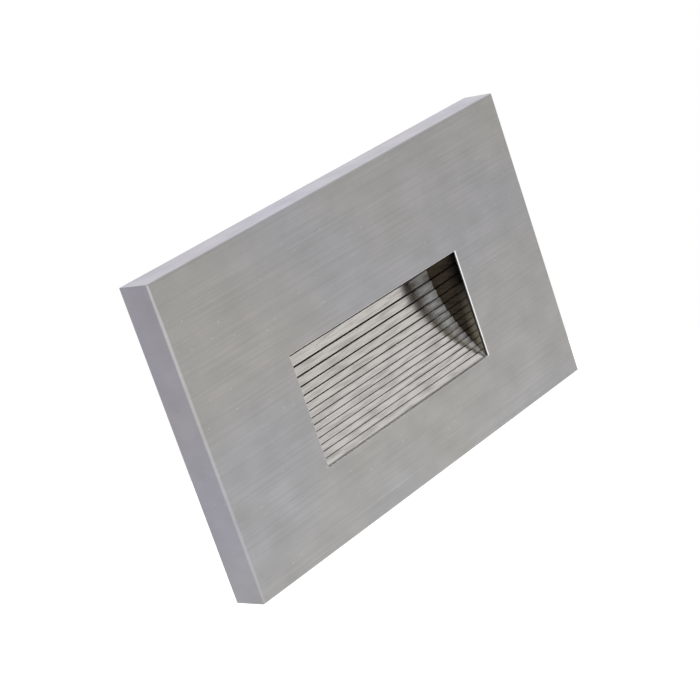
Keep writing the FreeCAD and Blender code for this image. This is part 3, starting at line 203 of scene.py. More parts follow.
@dataclass(frozen=True)
class BrushedSheet(Finish):
    """Stainless sheet brushed along its length: fine lines, faint bands, blotches, specks and scratches.

    The pattern follows the UV map "sheet", which is the unfolded sheet in millimetres, so the lines run
    round each bend as they do on sheet that was brushed flat. Real lines are about 0.05 mm wide. They are
    drawn coarser than that, so that they show.
    """

    spread: float = 0.07
    line_mm: float = 0.16
    line_length_mm: float = 26.0
    blotch_mm: Triple = (9.0, 7.0, 1.0)
    drift_mm: Triple = (55.0, 40.0, 1.0)
    speck_mm: Triple = (2.9, 2.3, 1.0)
    scratch_mm: Triple = (46.0, 2.3, 1.0)
    anisotropy: float = 0.62
    quarter_turn: float = 0.25
    line_depth: float = 0.2
    fold_mm: float = 56.9
    warm: str = "bab8b5"
    cool: str = "b7b6ba"
    bright: str = "dededa"

    def pattern(self, tree: Tree) -> None:
        """Links brush lines, bands, blotches, specks and scratches to colour, roughness and relief.

        Args:
            tree: the material's nodes.
        """
        sheet = tree.add("UVMap", uv_map="sheet")["UV"]
        lines = self.noise(tree, sheet, (self.line_length_mm, self.line_mm, 1.0))
        bands = self.noise(tree, sheet, (2 * self.line_length_mm, 5 * self.line_mm, 1.0))
        across = tree.add("SeparateXYZ", (sheet,))["X"]
        across = tree.add("Math", (across,), operation="ABSOLUTE")[0]
        # the end flanges are buffed, so there the noise is drawn towards its middle
        fold = self.fold_mm + 0.6, self.fold_mm - 0.6
        on_front = tree.add("MapRange", (across, *fold, 0.2, 1.0))[0]
        lines, bands = (tree.add("Mix", {0: on_front, 2: 0.5, 3: noise})[0]
                        for noise in (lines, bands))
        blotch = self.noise(tree, sheet, self.blotch_mm, 3.0)
        drift = self.noise(tree, sheet, self.drift_mm, 1.0)
        speck = self.flecks(tree, sheet, self.speck_mm, 0.085)
        scratch = self.flecks(tree, sheet, self.scratch_mm, 0.034)
        marks = tree.add("Math", (speck, scratch), operation="MAXIMUM")[0]
        colour: object = linear(self.cool)
        for noise, low, high, depth, other in ((drift, 0.4, 0.6, 1.0, self.warm),
                                               (blotch, 0.35, 0.75, 0.3, self.shade),
                                               (lines, 0.42, 0.75, self.line_depth, self.shade),
                                               (lines, 0.42, 0.25, self.line_depth, self.bright),
                                               (bands, 0.4, 0.75, self.line_depth, self.shade),
                                               (marks, 0.0, 1.0, 0.7, self.bright)):
            amount = tree.add("MapRange", (noise, low, high, 0.0, depth))[0]
            colour = tree.add("Mix", {0: amount, 6: colour, 7: linear(other)}, data_type="RGBA")[2]
        rough = tree.add("MapRange", (lines, 0.25, 0.75, *self.shine()))[0]
        worn = tree.add("MapRange", (blotch, 0.3, 0.7, 0.94, 1.06))[0]
        rough = tree.add("Math", (rough, worn), operation="MULTIPLY")[0]
        tree.set("Anisotropic", self.anisotropy)
        tree.set("Anisotropic Rotation", self.quarter_turn)
        tree.link("Tangent", tree.add("Tangent", direction_type="UV_MAP", uv_map="sheet")[0])
        self.connect(tree, colour, rough, lines)

    def flecks(self, tree: Tree, sheet: NodeSocket, size: Triple, reach: float) -> NodeSocket:
        """Sparse small marks: one where a cell of the given size has its seed, faded to zero within a reach.

        Args:
            tree: the material's nodes.
            sheet: the unfolded sheet in millimetres.
            size: cell size along each axis.
            reach: how far a mark goes, as a share of its cell.
        Returns:
            One in the middle of a mark and zero away from it.
        """
        squeezed = tree.add("Mapping", {"Vector": sheet, "Scale": tuple(1 / s for s in size)})[0]
        cells = tree.add("TexVoronoi", {"Vector": squeezed, "Scale": 1.0}, voronoi_dimensions="2D")
        near = tree.add("MapRange", (cells["Distance"], reach, 0.3 * reach, 0.0, 1.0))[0]
        chosen = tree.add("SeparateColor", (cells["Color"],))[0]
        kept = tree.add("MapRange", (chosen, 0.86, 0.99, 0.0, 1.0))[0]
        return tree.add("Math", (near, kept), operation="MULTIPLY")[0]


@dataclass(frozen=True)
class Plated(Finish):
    """Bright zinc or tin: soft crystal patches over the mill's faint lines."""

    metallic: float = 1.0
    crystal_mm: float = 1.8

    def pattern(self, tree: Tree) -> None:
        """Links crystal patches to colour and roughness, and the mill's lines to relief.

        Args:
            tree: the material's nodes.
        """
        place = self.place(tree)
        squeezed = tree.add("Mapping", {"Vector": place, "Scale": (1 / self.crystal_mm,) * 3})[0]
        cells = tree.add("TexVoronoi", {"Vector": squeezed, "Scale": 1.0}, feature="SMOOTH_F1")
        face = tree.add("SeparateColor", (cells["Color"],))[0]
        lines = self.noise(tree, place, (12 * self.grain_mm, 1.5 * self.grain_mm, self.grain_mm), 3.0)
        rough = tree.add("MapRange", (face, 0.0, 1.0, *self.shine()))[0]
        self.connect(tree, face, rough, lines)


@dataclass(frozen=True)
class Metallised(Finish):
    """Vacuum metallised moulding: near mirror, with the mould's fine polishing lines and a faint ripple.

    In the deep corners beside the cheeks, shade and reflection are painted in: the colour goes towards a
    grey-blue and the metal is turned down. The corner is where the way to the cheek, over the way back from
    the plate's face, is less than the reach.
    """

    metallic: float = 1.0
    ripple_mm: float = 2.2
    patch_mm: Triple = (6.0, 6.0, 0.7)
    # painted shade and reflection for the deep corners, not a haze in the real film
    corner_shade: str = "bfc3c5"
    corner_shade_amount: float = 0.8
    corner_shade_reach: tuple[float, float] = (0.75, 0.3)
    cheek_mm: float = 28.7
    face_mm: float = -8.6

    def pattern(self, tree: Tree) -> None:
        """Links polishing lines and a ripple to relief, and patches and the painted corner shade to the rest.

        Args:
            tree: the material's nodes.
        """
        place = self.place(tree)
        lines = self.noise(tree, place, (self.grain_mm, 6 * self.grain_mm, 6 * self.grain_mm))
        ripple = self.noise(tree, place, (self.ripple_mm,) * 3, 1.0)
        patch = self.noise(tree, place, self.patch_mm, 3.0)
        amount = tree.add("MapRange", (patch, 0.4, 0.68, 0.0, 1.0))[0]
        colour = tree.add("Mix", {0: amount, 6: linear(self.colour), 7: linear(self.shade)},
                          data_type="RGBA")[2]
        rough = tree.add("MapRange", (patch, 0.3, 0.7, *self.shine()))[0]
        both = tree.add("Math", (ripple, 1.0, lines), operation="MULTIPLY_ADD")[0]
        self.connect(tree, self.painted_shade(tree, place, patch, colour), rough, both)

    def painted_shade(self, tree: Tree, place: NodeSocket, patch: NodeSocket, colour: NodeSocket) -> NodeSocket:
        """Paints shade and reflection into the deep corners, greyer and less of a mirror, broken up by the
        patches.

        The share of painted shade is the reach's ramp over (cheek - |x|) / (y - face).

        Args:
            tree: the material's nodes.
            place: coordinates in millimetres.
            patch: the patches' noise.
            colour: the film's colour so far.
        Returns:
            The colour with the painted shade.
        """
        spot = tree.add("SeparateXYZ", (place,))
        aside = tree.add("Math", (spot["X"],), operation="ABSOLUTE")[0]
        away = tree.add("Math", (self.cheek_mm, aside), operation="SUBTRACT")[0]
        deep = tree.add("Math", (spot["Y"], self.face_mm), operation="SUBTRACT")[0]
        ratio = tree.add("Math", (away, deep), operation="DIVIDE")[0]
        near = tree.add("MapRange", (ratio, *self.corner_shade_reach, 0.0, self.corner_shade_amount))[0]
        broken = tree.add("MapRange", (patch, 0.35, 0.62, 1.0, 0.5))[0]
        corner_shade = tree.add("Math", (near, broken), operation="MULTIPLY")[0]
        tree.link("Metallic", tree.add("MapRange", (corner_shade, 0.0, 1.0, self.metallic, 0.0))[0])
        return tree.add("Mix", {0: corner_shade, 6: colour, 7: linear(self.corner_shade)}, data_type="RGBA")[2]


@dataclass(frozen=True)
class Sprayed(Metallised):
    """A cheek's mirror film with painted reflection and shade: dark brown overall, near black by the rim high
    up, and paler low down.
    """

    # painted shade: near black by the plate's face high up; the next colour is a paler painted reflection low
    # down
    rim: str = "0b0a0b"
    low_reflection: str = "8d8777"
    rim_shade_mm: tuple[float, float] = (1.5, 7.5)
    low_reflection_mm: tuple[float, float] = (1.8, 3.6)
    height_mm: tuple[float, float] = (-16.0, 0.0)

    def painted_shade(self, tree: Tree, place: NodeSocket, patch: NodeSocket, colour: NodeSocket) -> NodeSocket:
        """Paints shade near the plate's face, towards the rim's near black high up, and a paler painted
        reflection low down.

        Args:
            tree: the material's nodes.
            place: coordinates in millimetres.
            patch: the patches' noise, which has no part here.
            colour: the film's colour so far.
        Returns:
            The film's colour.
        """
        spot = tree.add("SeparateXYZ", (place,))
        for other, (low, high), shares in ((self.rim, self.rim_shade_mm, (0.25, 1.0)),
                                           (self.low_reflection, self.low_reflection_mm, (0.6, 0.0))):
            reach = self.face_mm + high, self.face_mm + low
            near = tree.add("MapRange", (spot["Y"], *reach, 0.0, 1.0))[0]
            up = tree.add("MapRange", (spot["Z"], *self.height_mm, *shares))[0]
            share = tree.add("Math", (near, up), operation="MULTIPLY")[0]
            colour = tree.add("Mix", {0: share, 6: colour, 7: linear(other)}, data_type="RGBA")[2]
        return colour


@dataclass(frozen=True)
class ClearSilicone(Finish):
    """Frosted or clear soft plastic: some light goes through it."""

    transmission: float = 0.5

    def pattern(self, tree: Tree) -> None:
        """Adds transmission to the plain grain."""
        super().pattern(tree)
        tree.set("Transmission Weight", self.transmission)


FINISHES = {finish.name: finish for finish in (
    # the same sheet where the blanking punch rolled it over: a smooth burnished lip, its colour lightened
    # past the sheet's as a painted highlight
    Finish("burnished_lip_highlight", "f6f6f4", "e4e4e0", 0.2, 0.2, 0.002, metallic=1.0),
    # and where it broke through: grey and matte
    Finish("broken_edge", "a9a9a6", "929290", 0.6, 0.15, 0.004, metallic=0.3),
    # 304 stainless sheet with a number four brushed face: soft streaks along the sheet
    BrushedSheet("brushed_stainless", "b6b6b3", "8f908e", 0.33, 1.0, 0.0012, metallic=1.0),
    # cold rolled strip, bright zinc: bluish grey with faint crystals
    Plated("zinc_steel", "c9ccd0", "b4b8bd", 0.30, 0.25, 0.004, spread=0.2),
    # tempered carbon steel strip, oiled after blueing: dark and slick
    Finish("spring_steel", "8d9096", "6d7078", 0.28, 0.3, 0.004, metallic=1.0),
    # headed and rolled wire, clear zinc: bright with small crystals
    Plated("screw_steel", "cfcfcb", "b7b8b8", 0.27, 0.2, 0.003, crystal_mm=0.8),
    # polycarbonate moulding with an evaporated aluminium skin: nearly a mirror
    Metallised("bright_reflector", "e3e0dc", "c2bfbb", 0.16, 0.25, 0.003, spread=0.25),
    # the same skin on the cheeks, coloured dark brown as painted shade and reflection of the dark things the
    # mirror faces
    Sprayed("painted_cheek_shade", "4c4337", "3b342b", 0.1, 0.4, 0.002, spread=0.3),
    # painted shade in the root slots: dark and matte, the colour of a slot's shadow
    Finish("root_slot_shade", "2b2825", "1d1b19", 0.5, 0.2, 0.005),
    # frosted polycarbonate strip: milky and soft
    ClearSilicone("frosted_lens", "f3f3ee", "e6e6df", 0.5, 0.2, 0.004),
    # injection moulded polycarbonate with a spark-eroded texture: matte white
    Finish("white_moulding", "ecece8", "dedfd9", 0.48, 0.22, 0.012),
    # metal core board under white solder mask: smooth, half gloss
    Finish("white_board", "f0f0ec", "e2e3dd", 0.35, 0.4, 0.003),
    # phosphor in silicone over the die: yellow under a clear skin
    Finish("led_phosphor", "edd061", "e0b845", 0.4, 0.12, 0.004, coat=0.4),
    # half hard aluminium sheet as rolled: pale with a soft shine
    Finish("raw_aluminium", "dadadc", "c3c4c8", 0.34, 0.5, 0.004, metallic=1.0),
    # aluminium die casting, glass bead blasted: even, dull and finely pitted
    Finish("cast_housing", "adafb1", "93969a", 0.52, 0.28, 0.035, metallic=1.0),
    # filled silicone gap pad: chalky blue
    Finish("pad_silicone", "b9c6d4", "a7b5c5", 0.65, 0.2, 0.01),
    # moulded silicone ring: cloudy
    ClearSilicone("clear_silicone", "e4e4e0", "d5d6d0", 0.35, 0.4, 0.003, transmission=0.6),
    # closed-cell polyethylene foam with cut cells on its faces
    Finish("black_foam", "303033", "1d1d1f", 0.85, 0.45, 0.12),
    # moulded nitrile: dull black
    Finish("black_rubber", "2a2a2b", "1c1c1d", 0.6, 0.3, 0.01),
    # vulcanised fibre, faint sheet grain
    Finish("red_fibre", "8b3a2c", "6f2b20", 0.7, 0.3, 0.02),
    # polyester film: milky, slick and slightly uneven
    Finish("insulating_film", "e4e0d2", "d6d1c0", 0.3, 0.8, 0.004),
    # glass cloth laminate under green solder mask
    Finish("green_board", "1f6b3c", "17552f", 0.32, 0.5, 0.008, coat=0.3),
    # sintered and tumbled ferrite: dark grey and grainy
    Finish("ferrite", "494a4d", "36373a", 0.55, 0.25, 0.02),
    # polyester tape over the winding: glossy over its turns
    Finish("yellow_tape", "e3bd35", "cfa524", 0.28, 1.6, 0.03, coat=0.3),
    # shrunk film on an aluminium can: dark gloss
    Finish("can_sleeve", "2b2f3d", "1f2230", 0.25, 1.2, 0.008, coat=0.5),
    # film capacitor's filled case: smooth and glossy
    Finish("yellow_case", "dfb938", "c9a42c", 0.3, 0.6, 0.006, coat=0.2),
    # dipped epoxy, orange peel
    Finish("blue_epoxy", "2f5fae", "254d92", 0.25, 0.9, 0.02, coat=0.4),
    # flameproof lacquer on the resistor: dry and fine grained
    Finish("resistor_coat", "76a48e", "5f8d78", 0.6, 0.3, 0.015),
    # transfer moulded epoxy: dull black
    Finish("black_epoxy", "2c2c2e", "222224", 0.5, 0.15, 0.008),
    # glass-filled polyamide straight from the mould: satin
    Finish("terminal_green", "3d7a4d", "31683f", 0.42, 0.25, 0.012),
    # stamped brass under bright tin: warm white
    Plated("tinned_brass", "dcd8c8", "c9c3b0", 0.3, 0.2, 0.003, crystal_mm=0.6),
    # folded steel under zinc: greyer
    Plated("cage_steel", "d2d2c9", "bcbcb2", 0.3, 0.2, 0.003, crystal_mm=0.7),
    # extruded insulation on stranded wire: even gloss
    Finish("red_lead", "b8201c", "9d1815", 0.33, 0.5, 0.006, coat=0.2),
    Finish("black_lead", "2b2b2c", "1f1f20", 0.33, 0.5, 0.006, coat=0.2),
)}


@dataclass(frozen=True)
class Card:
    """A soft-edged card of the studio round the object, seen by direction from it."""

    towards: Triple
    colour: str
    strength: float
    inner_deg: float
    outer_deg: float


@dataclass
class Studio:
    """The camera at the photograph's angle, a pale floor, a white surround with soft cards, and two lamps."""

    eye: Triple = (-298.8, -310.5, 113.5)
    right: Triple = (0.6263, -0.7127, -0.3159)
    up: Triple = (0.4068, -0.0468, 0.9123)
    lens_mm: float = 105.0
    floor_z: float = -300.0
    floor_half: float = 650.0
    floor_rows: int = 41
    floor_rise: float = 40.0
    floor_tones: tuple[str, str] = ("e9e9e9", "e4e4e4")
    floor_glow: float = 0.52
    level: float = 0.62
    surround: tuple[str, float] = ("f4f4f4", 0.82)
    cards: tuple[Card, ...] = (
        # what the front sheet shows
        Card((0.665, -0.70, -0.26), "fbf9f7", 0.73, 28.0, 55.0),
        # what the ledges show by way of the treads
        Card((0.665, -0.70, 0.34), "efefef", 0.85, 10.0, 30.0),
        # what the top flange shows
        Card((0.665, 0.70, 0.26), "f6f5ff", 1.2, 20.0, 45.0),
        # what the left flange shows
        Card((-0.665, 0.70, -0.26), "e3e0f6", 0.82, 20.0, 40.0),
        # a wide softbox on the left, which the bend shows
        Card((-0.84, -0.48, -0.26), "fbfbff", 1.3, 47.0, 60.0),
    )

    def build(self) -> None:
        """Makes the camera, the floor, the surround and the lamps."""
        self.make_camera()
        self.make_floor()
        self.make_surround()
        self.make_lamp("front_softbox", (420.0, -900.0, 620.0), 900.0, 9.0)
        self.make_lamp("back_softbox", (-200.0, 900.0, 700.0), 900.0, 6.0)

    def make_camera(self) -> None:
        """Stands the camera on the measured eye point, with its axes as columns of its matrix."""
        right, up = Vector(self.right).normalized(), Vector(self.up).normalized()
        back = right.cross(up).normalized()
        up = back.cross(right)
        camera = put("camera", bpy.data.cameras.new("camera"))
        camera.data.lens = self.lens_mm
        camera.data.sensor_width = 36.0
        camera.data.clip_start, camera.data.clip_end = 0.01, 20.0
        turn = Matrix((right, up, back)).transposed().to_4x4()
        camera.matrix_world = Matrix.Translation(Vector(self.eye) * MM) @ turn
        bpy.context.scene.camera = camera

    def make_floor(self) -> None:
        """A shallow dish: height rises with the eighth power of the distance from its middle."""
        steps = np.linspace(-1.0, 1.0, self.floor_rows)
        x, y = np.meshgrid(steps, steps, indexing="ij")
        z = self.floor_z + self.floor_rise * np.maximum(np.abs(x), np.abs(y)) ** 8
        spots = np.stack([x * self.floor_half, y * self.floor_half, z], axis=-1)
        floor = grid_object("floor", spots, wrap=False)
        made = bpy.data.materials.new("studio_floor")
        made.use_nodes = True
        tree = Tree(made.node_tree)
        tree.raw.nodes.clear()
        place = tree.add("TexCoord")["Object"]
        grain = tree.add("TexNoise", {"Vector": place, "Scale": 400.0})["Fac"]
        near, far = map(linear, self.floor_tones)
        tone = tree.add("Mix", {0: grain, 6: near, 7: far}, data_type="RGBA")[2]
        matte = tree.add("BsdfDiffuse", (tone,))[0]
        glow = tree.add("Emission", ((1, 1, 1, 1), self.floor_glow))[0]
        both = tree.add("AddShader", (matte, glow))[0]
        shown = tree.add("MixShader", (self.seen(tree, "Is Camera Ray"), matte, both))[0]
        tree.add("OutputMaterial", (shown,))
        floor.data.materials.append(made)

    def seen(self, tree: Tree, *rays: str) -> NodeSocket:
        """One for the named kinds of ray and zero for the others.

        Args:
            tree: the nodes of the floor or the world.
            rays: the kinds, as the light path names them.
        Returns:
            The one or zero.
        """
        path = tree.add("LightPath")
        total = path[rays[0]]
        for ray in rays[1:]:
            total = tree.add("Math", (total, path[ray]), operation="MAXIMUM")[0]
        return total

    def make_surround(self) -> None:
        """White to the camera. To metal and glass it is white with the cards mixed in by direction."""
        world = bpy.data.worlds.new("surround")
        world.use_nodes = True
        bpy.context.scene.world = world
        tree = Tree(world.node_tree)
        tree.raw.nodes.clear()
        way = tree.add("TexCoord")["Generated"]
        way = tree.add("VectorMath", (way,), operation="NORMALIZE")[0]
        tone, strength = self.surround
        colour: object = tuple(c * strength for c in linear(tone)[:3]) + (1.0,)
        for card in self.cards:
            towards = tuple(Vector(card.towards).normalized())
            facing = tree.add("VectorMath", (way, towards), operation="DOT_PRODUCT")["Value"]
            outer, inner = (math.cos(math.radians(angle)) for angle in (card.outer_deg, card.inner_deg))
            amount = tree.add("MapRange", (facing, outer, inner), interpolation_type="SMOOTHSTEP")[0]
            shown = tuple(c * card.strength for c in linear(card.colour)[:3]) + (1.0,)
            colour = tree.add("Mix", {0: amount, 6: colour, 7: shown}, data_type="RGBA")[2]
        plain, white = (self.level, self.level, self.level, 1.0), (1, 1, 1, 1)
        for rays, other in ((("Is Glossy Ray", "Is Transmission Ray"), colour), (("Is Camera Ray",), white)):
            plain = tree.add("Mix", {0: self.seen(tree, *rays), 6: plain, 7: other}, data_type="RGBA")[2]
        background = tree.add("Background", (plain, 1.0))[0]
        tree.add("OutputWorld", (background,))

    def make_lamp(self, name: str, spot: Triple, size: float, power: float) -> None:
        """A square area lamp that faces the object.

        Args:
            name: the lamp's name.
            spot: where it stands.
            size: the length of its side.
            power: its output in watts.
        """
        data = bpy.data.lights.new(name, "AREA")
        data.size = size * MM
        data.energy = power
        lamp = put(name, data)
        lamp.location = Vector(spot) * MM
        lamp.rotation_euler = (-Vector(spot)).to_track_quat("-Z", "Y").to_euler()
        lamp.visible_glossy = False


def put(name: str, data: bpy.types.ID) -> Object:
    """Makes an object of some data and links it to the scene.

    Args:
        name: the object's name.
        data: its mesh, camera or lamp.
    Returns:
        The object.
    """
    made = bpy.data.objects.new(name, data)
    bpy.context.scene.collection.objects.link(made)
    return made


def quads(grid: np.ndarray) -> np.ndarray:
    """The four corners of each cell of a grid of numbers or points, in order round the cell."""
    return np.stack([grid[:-1, :-1], grid[:-1, 1:], grid[1:, 1:], grid[1:, :-1]], axis=2)


def grid_object(name: str, spots: np.ndarray, wrap: bool) -> Object:
    """Turns a grid of points into a mesh of quads.

    Args:
        name: the object's name.
        spots: rows by columns by three, in millimetres.
        wrap: whether the last row and column join the first ones.
    Returns:
        The object, linked to the scene, with its place in its mesh.
    """
    rows, columns = spots.shape[:2]
    index = np.arange(rows * columns).reshape(rows, columns)
    if wrap:
        index = np.pad(index, ((0, 1), (0, 1)), mode="wrap")
    mesh = bpy.data.meshes.new(name)
    mesh.from_pydata(spots.reshape(-1, 3) * MM, [], quads(index).reshape(-1, 4).tolist())
    mesh.update()
    return put(name, mesh)


class Edge(Enum):
    """How a softened copy's edges are finished."""

    BROKEN = 1
    ROUNDED = 2


@dataclass
class SoftCopy:
    """A copy of a CAD node whose edges are broken or rounded, as its real making leaves them."""

    node: str
    slot: str
    edge_mm: float
    edge: Edge = Edge.BROKEN
    flat_deg: float = 1.0
    sharp_deg: float = 38.0

    def build(self, nodes: Nodes) -> Object:
        """Copies, merges and cleans the node's mesh, then breaks its edges with a live Bevel modifier.

        Args:
            nodes: the CAD node objects by name.
        Returns:
            The copy, which replaces the node.
        """
        mesh = nodes[self.node].data.copy()
        mesh.name = self.node + "_finished"
        imported = mesh.attributes.get("custom_normal")
        if imported:
            mesh.attributes.remove(imported)
        work = bmesh.new()
        work.from_mesh(mesh)
        bmesh.ops.remove_doubles(work, verts=work.verts, dist=MERGE_MM * MM)
        bmesh.ops.dissolve_limit(work, angle_limit=math.radians(self.flat_deg), verts=work.verts,
                                 edges=work.edges, delimit={"NORMAL"})
        work.to_mesh(mesh)
        work.free()
        mesh.shade_smooth()
        made = put(self.node + "_finished", mesh)
        bevel = made.modifiers.new("edges", "BEVEL")
        bevel.width = self.edge_mm * MM
        bevel.segments = 1 + self.edge.value
        bevel.limit_method = "ANGLE"
        bevel.angle_limit = math.radians(self.sharp_deg)
        bevel.harden_normals = True
        bevel.miter_outer = "MITER_ARC" if self.edge is Edge.ROUNDED else "MITER_SHARP"
        mesh.materials.clear()
        mesh.materials.append(FINISHES[self.slot].material())
        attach(made, "fixture")
        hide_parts(self.node)
        return made


@dataclass
class Faceplate:
    """The folded tray. Its section runs from the rim up the flange, round the bend, over the front to the
    window's cut edge, and back along the inner skin, and is carried round the rectangle with mitred corners.
    """

    width: float = 114.3
    height: float = 69.85
    front_y: float = -8.6
    sheet: float = 0.8
    bend: float = 0.7
    window: tuple[float, float, float, float] = (-28.6, 28.6, -18.2, 7.2)
    cut_edge: float = 0.05
    roll_over: tuple[float, float] = (0.1, 0.2)
    flare: float = 0.3
    rim_edge: float = 0.12
    notch_half: float = 4.5
    notch_depth: float = 1.4
    bend_steps: int = 10
    cut_rows: tuple[int, int, int] = (16, 19, 23)
    columns: int = 12
    hold: float = 0.04
    fold: float = 0.2
    sharp_deg: float = 40.0

    def section(self, flare: float) -> np.ndarray:
        """The closed section, as rows of (0 at the window or 1 at the outside, distance into the sheet, y).

        The bend is a quarter circle: inset = r - r cos a and y = front + r - r sin a, with a from 0 at the
        flange to 90 degrees at the front. Close pairs of rows keep the flats flat under smooth shading.

        Args:
            flare: how much wider the window gets towards the back, where the punch broke the sheet.
        Returns:
            The section's rows.
        """
        a = np.linspace(0.0, math.pi / 2, self.bend_steps)
        arc = np.stack([np.ones_like(a), self.bend * (1 - np.cos(a)),
                        self.front_y + self.bend * (1 - np.sin(a))], 1)
        inner_y = self.front_y + self.sheet
        e, c, f = self.rim_edge, self.cut_edge, self.fold
        roll, rolled = self.roll_over
        outside = [(1, e * 0.3, -e * 0.3), (1, 0, -e), (1, 0, -2 * e),
                   (1, 0, self.front_y + self.bend + self.hold)]
        front = [(1, self.bend + self.hold, self.front_y),
                 (0, roll + 3 * c, self.front_y), (0, roll + c, self.front_y),
                 (0, roll, self.front_y + 0.2 * c), (0, 0.5 * roll, self.front_y + 0.5 * rolled),
                 (0, 0, self.front_y + rolled), (0, flare * 0.9, inner_y - 2 * c),
                 (0, flare, inner_y - c), (0, flare + 0.2 * c, inner_y - 0.2 * c), (0, flare + c, inner_y),
                 (0, flare + 2 * c, inner_y)]
        inside = [(1, self.sheet + f, inner_y), (1, self.sheet + f / 2, inner_y + f / 10),
                  (1, self.sheet + f / 10, inner_y + f / 2), (1, self.sheet, inner_y + f),
                  (1, self.sheet, -2 * e), (1, self.sheet, -e), (1, self.sheet - e * 0.3, -e * 0.3),
                  (1, self.sheet - e, 0), (1, e, 0)]
        return np.concatenate([outside, arc, front, inside])

    def build(self) -> Object:
        """Carries the section round, cuts the pry notch, and lays out the sheet.

        Each side of a row's rectangle is the straight mix of its two corners. The rectangle is the window's
        grown by the row's distance, or the outside's shrunk by it. The notch lifts the bottom flange's rim.

        Returns:
            The faceplate object.
        """
        rows = self.section(self.flare)
        share, inset, y = (rows[:, i][:, None] for i in range(3))
        sill = self.section(0.0)[:, 1][:, None]
        left, right, bottom, top = self.window
        half_w, half_h = self.width / 2, self.height / 2
        ring_x = {-1: np.where(share == 0, left - inset, inset - half_w),
                  1: np.where(share == 0, right + inset, half_w - inset)}
        ring_z = {-1: np.where(share == 0, bottom - sill, inset - half_h),
                  1: np.where(share == 0, top + sill, half_h - inset)}
        even = np.linspace(0.0, 1.0, self.columns + 1)[:-1]
        lip = np.array([-self.notch_half - self.hold, -self.notch_half])
        lip = np.concatenate([lip, -lip])
        special = np.sort(np.concatenate([even, (lip + half_w) / self.width]))
        sides = ((-1, -1, 1, -1, special), (1, -1, 1, 1, even), (1, 1, -1, 1, even), (-1, 1, -1, -1, even))
        spots, unfolded = [], []
        depth = (y - self.front_y) * (share == 1)
        for x0, z0, x1, z1, steps in sides:
            t = np.append(steps, 1.0)[None, :]
            x = ring_x[x0] * (1 - t) + ring_x[x1] * t
            z = ring_z[z0] * (1 - t) + ring_z[z1] * t
            unfolded.append(np.stack([x + (x0 == x1) * x0 * depth, z + (z0 == z1) * z0 * depth], axis=-1))
            x, z = x[:, :-1], z[:, :-1]
            back = np.broadcast_to(y, x.shape)
            if z0 == z1 == -1:
                inside = np.abs(steps[None, :] * self.width - half_w) <= self.notch_half + 0.001
                rim = (share == 1) & (y > -2.9 * self.rim_edge)
                back = np.where(inside & rim, y - self.notch_depth, back)
            spots.append(np.stack([x, back, z], axis=-1))
        plate = grid_object("faceplate_sheet", np.concatenate(spots, axis=1), wrap=True)
        spots_wide = sum(len(side[4]) for side in sides)
        laid = np.concatenate([quads(np.concatenate([side, side[:1]])) for side in unfolded], axis=1)
        layer = plate.data.uv_layers.new(name="sheet")
        layer.data.foreach_set("uv", laid.astype(np.float32).ravel())
        plate.data.shade_smooth()
        plate.data.set_sharp_from_angle(angle=math.radians(self.sharp_deg))
        # the rolled lip's finish is a real burnished lip, made lighter as a painted highlight
        for finish in ("brushed_stainless", "burnished_lip_highlight", "broken_edge"):
            plate.data.materials.append(FINISHES[finish].material())
        row = np.arange(len(plate.data.polygons)) // spots_wide
        kind = np.searchsorted(self.cut_rows, row, side="right") % len(self.cut_rows)
        plate.data.polygons.foreach_set("material_index", kind.astype(np.int32))
        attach(plate, "faceplate")
        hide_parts("faceplate")
        return plate


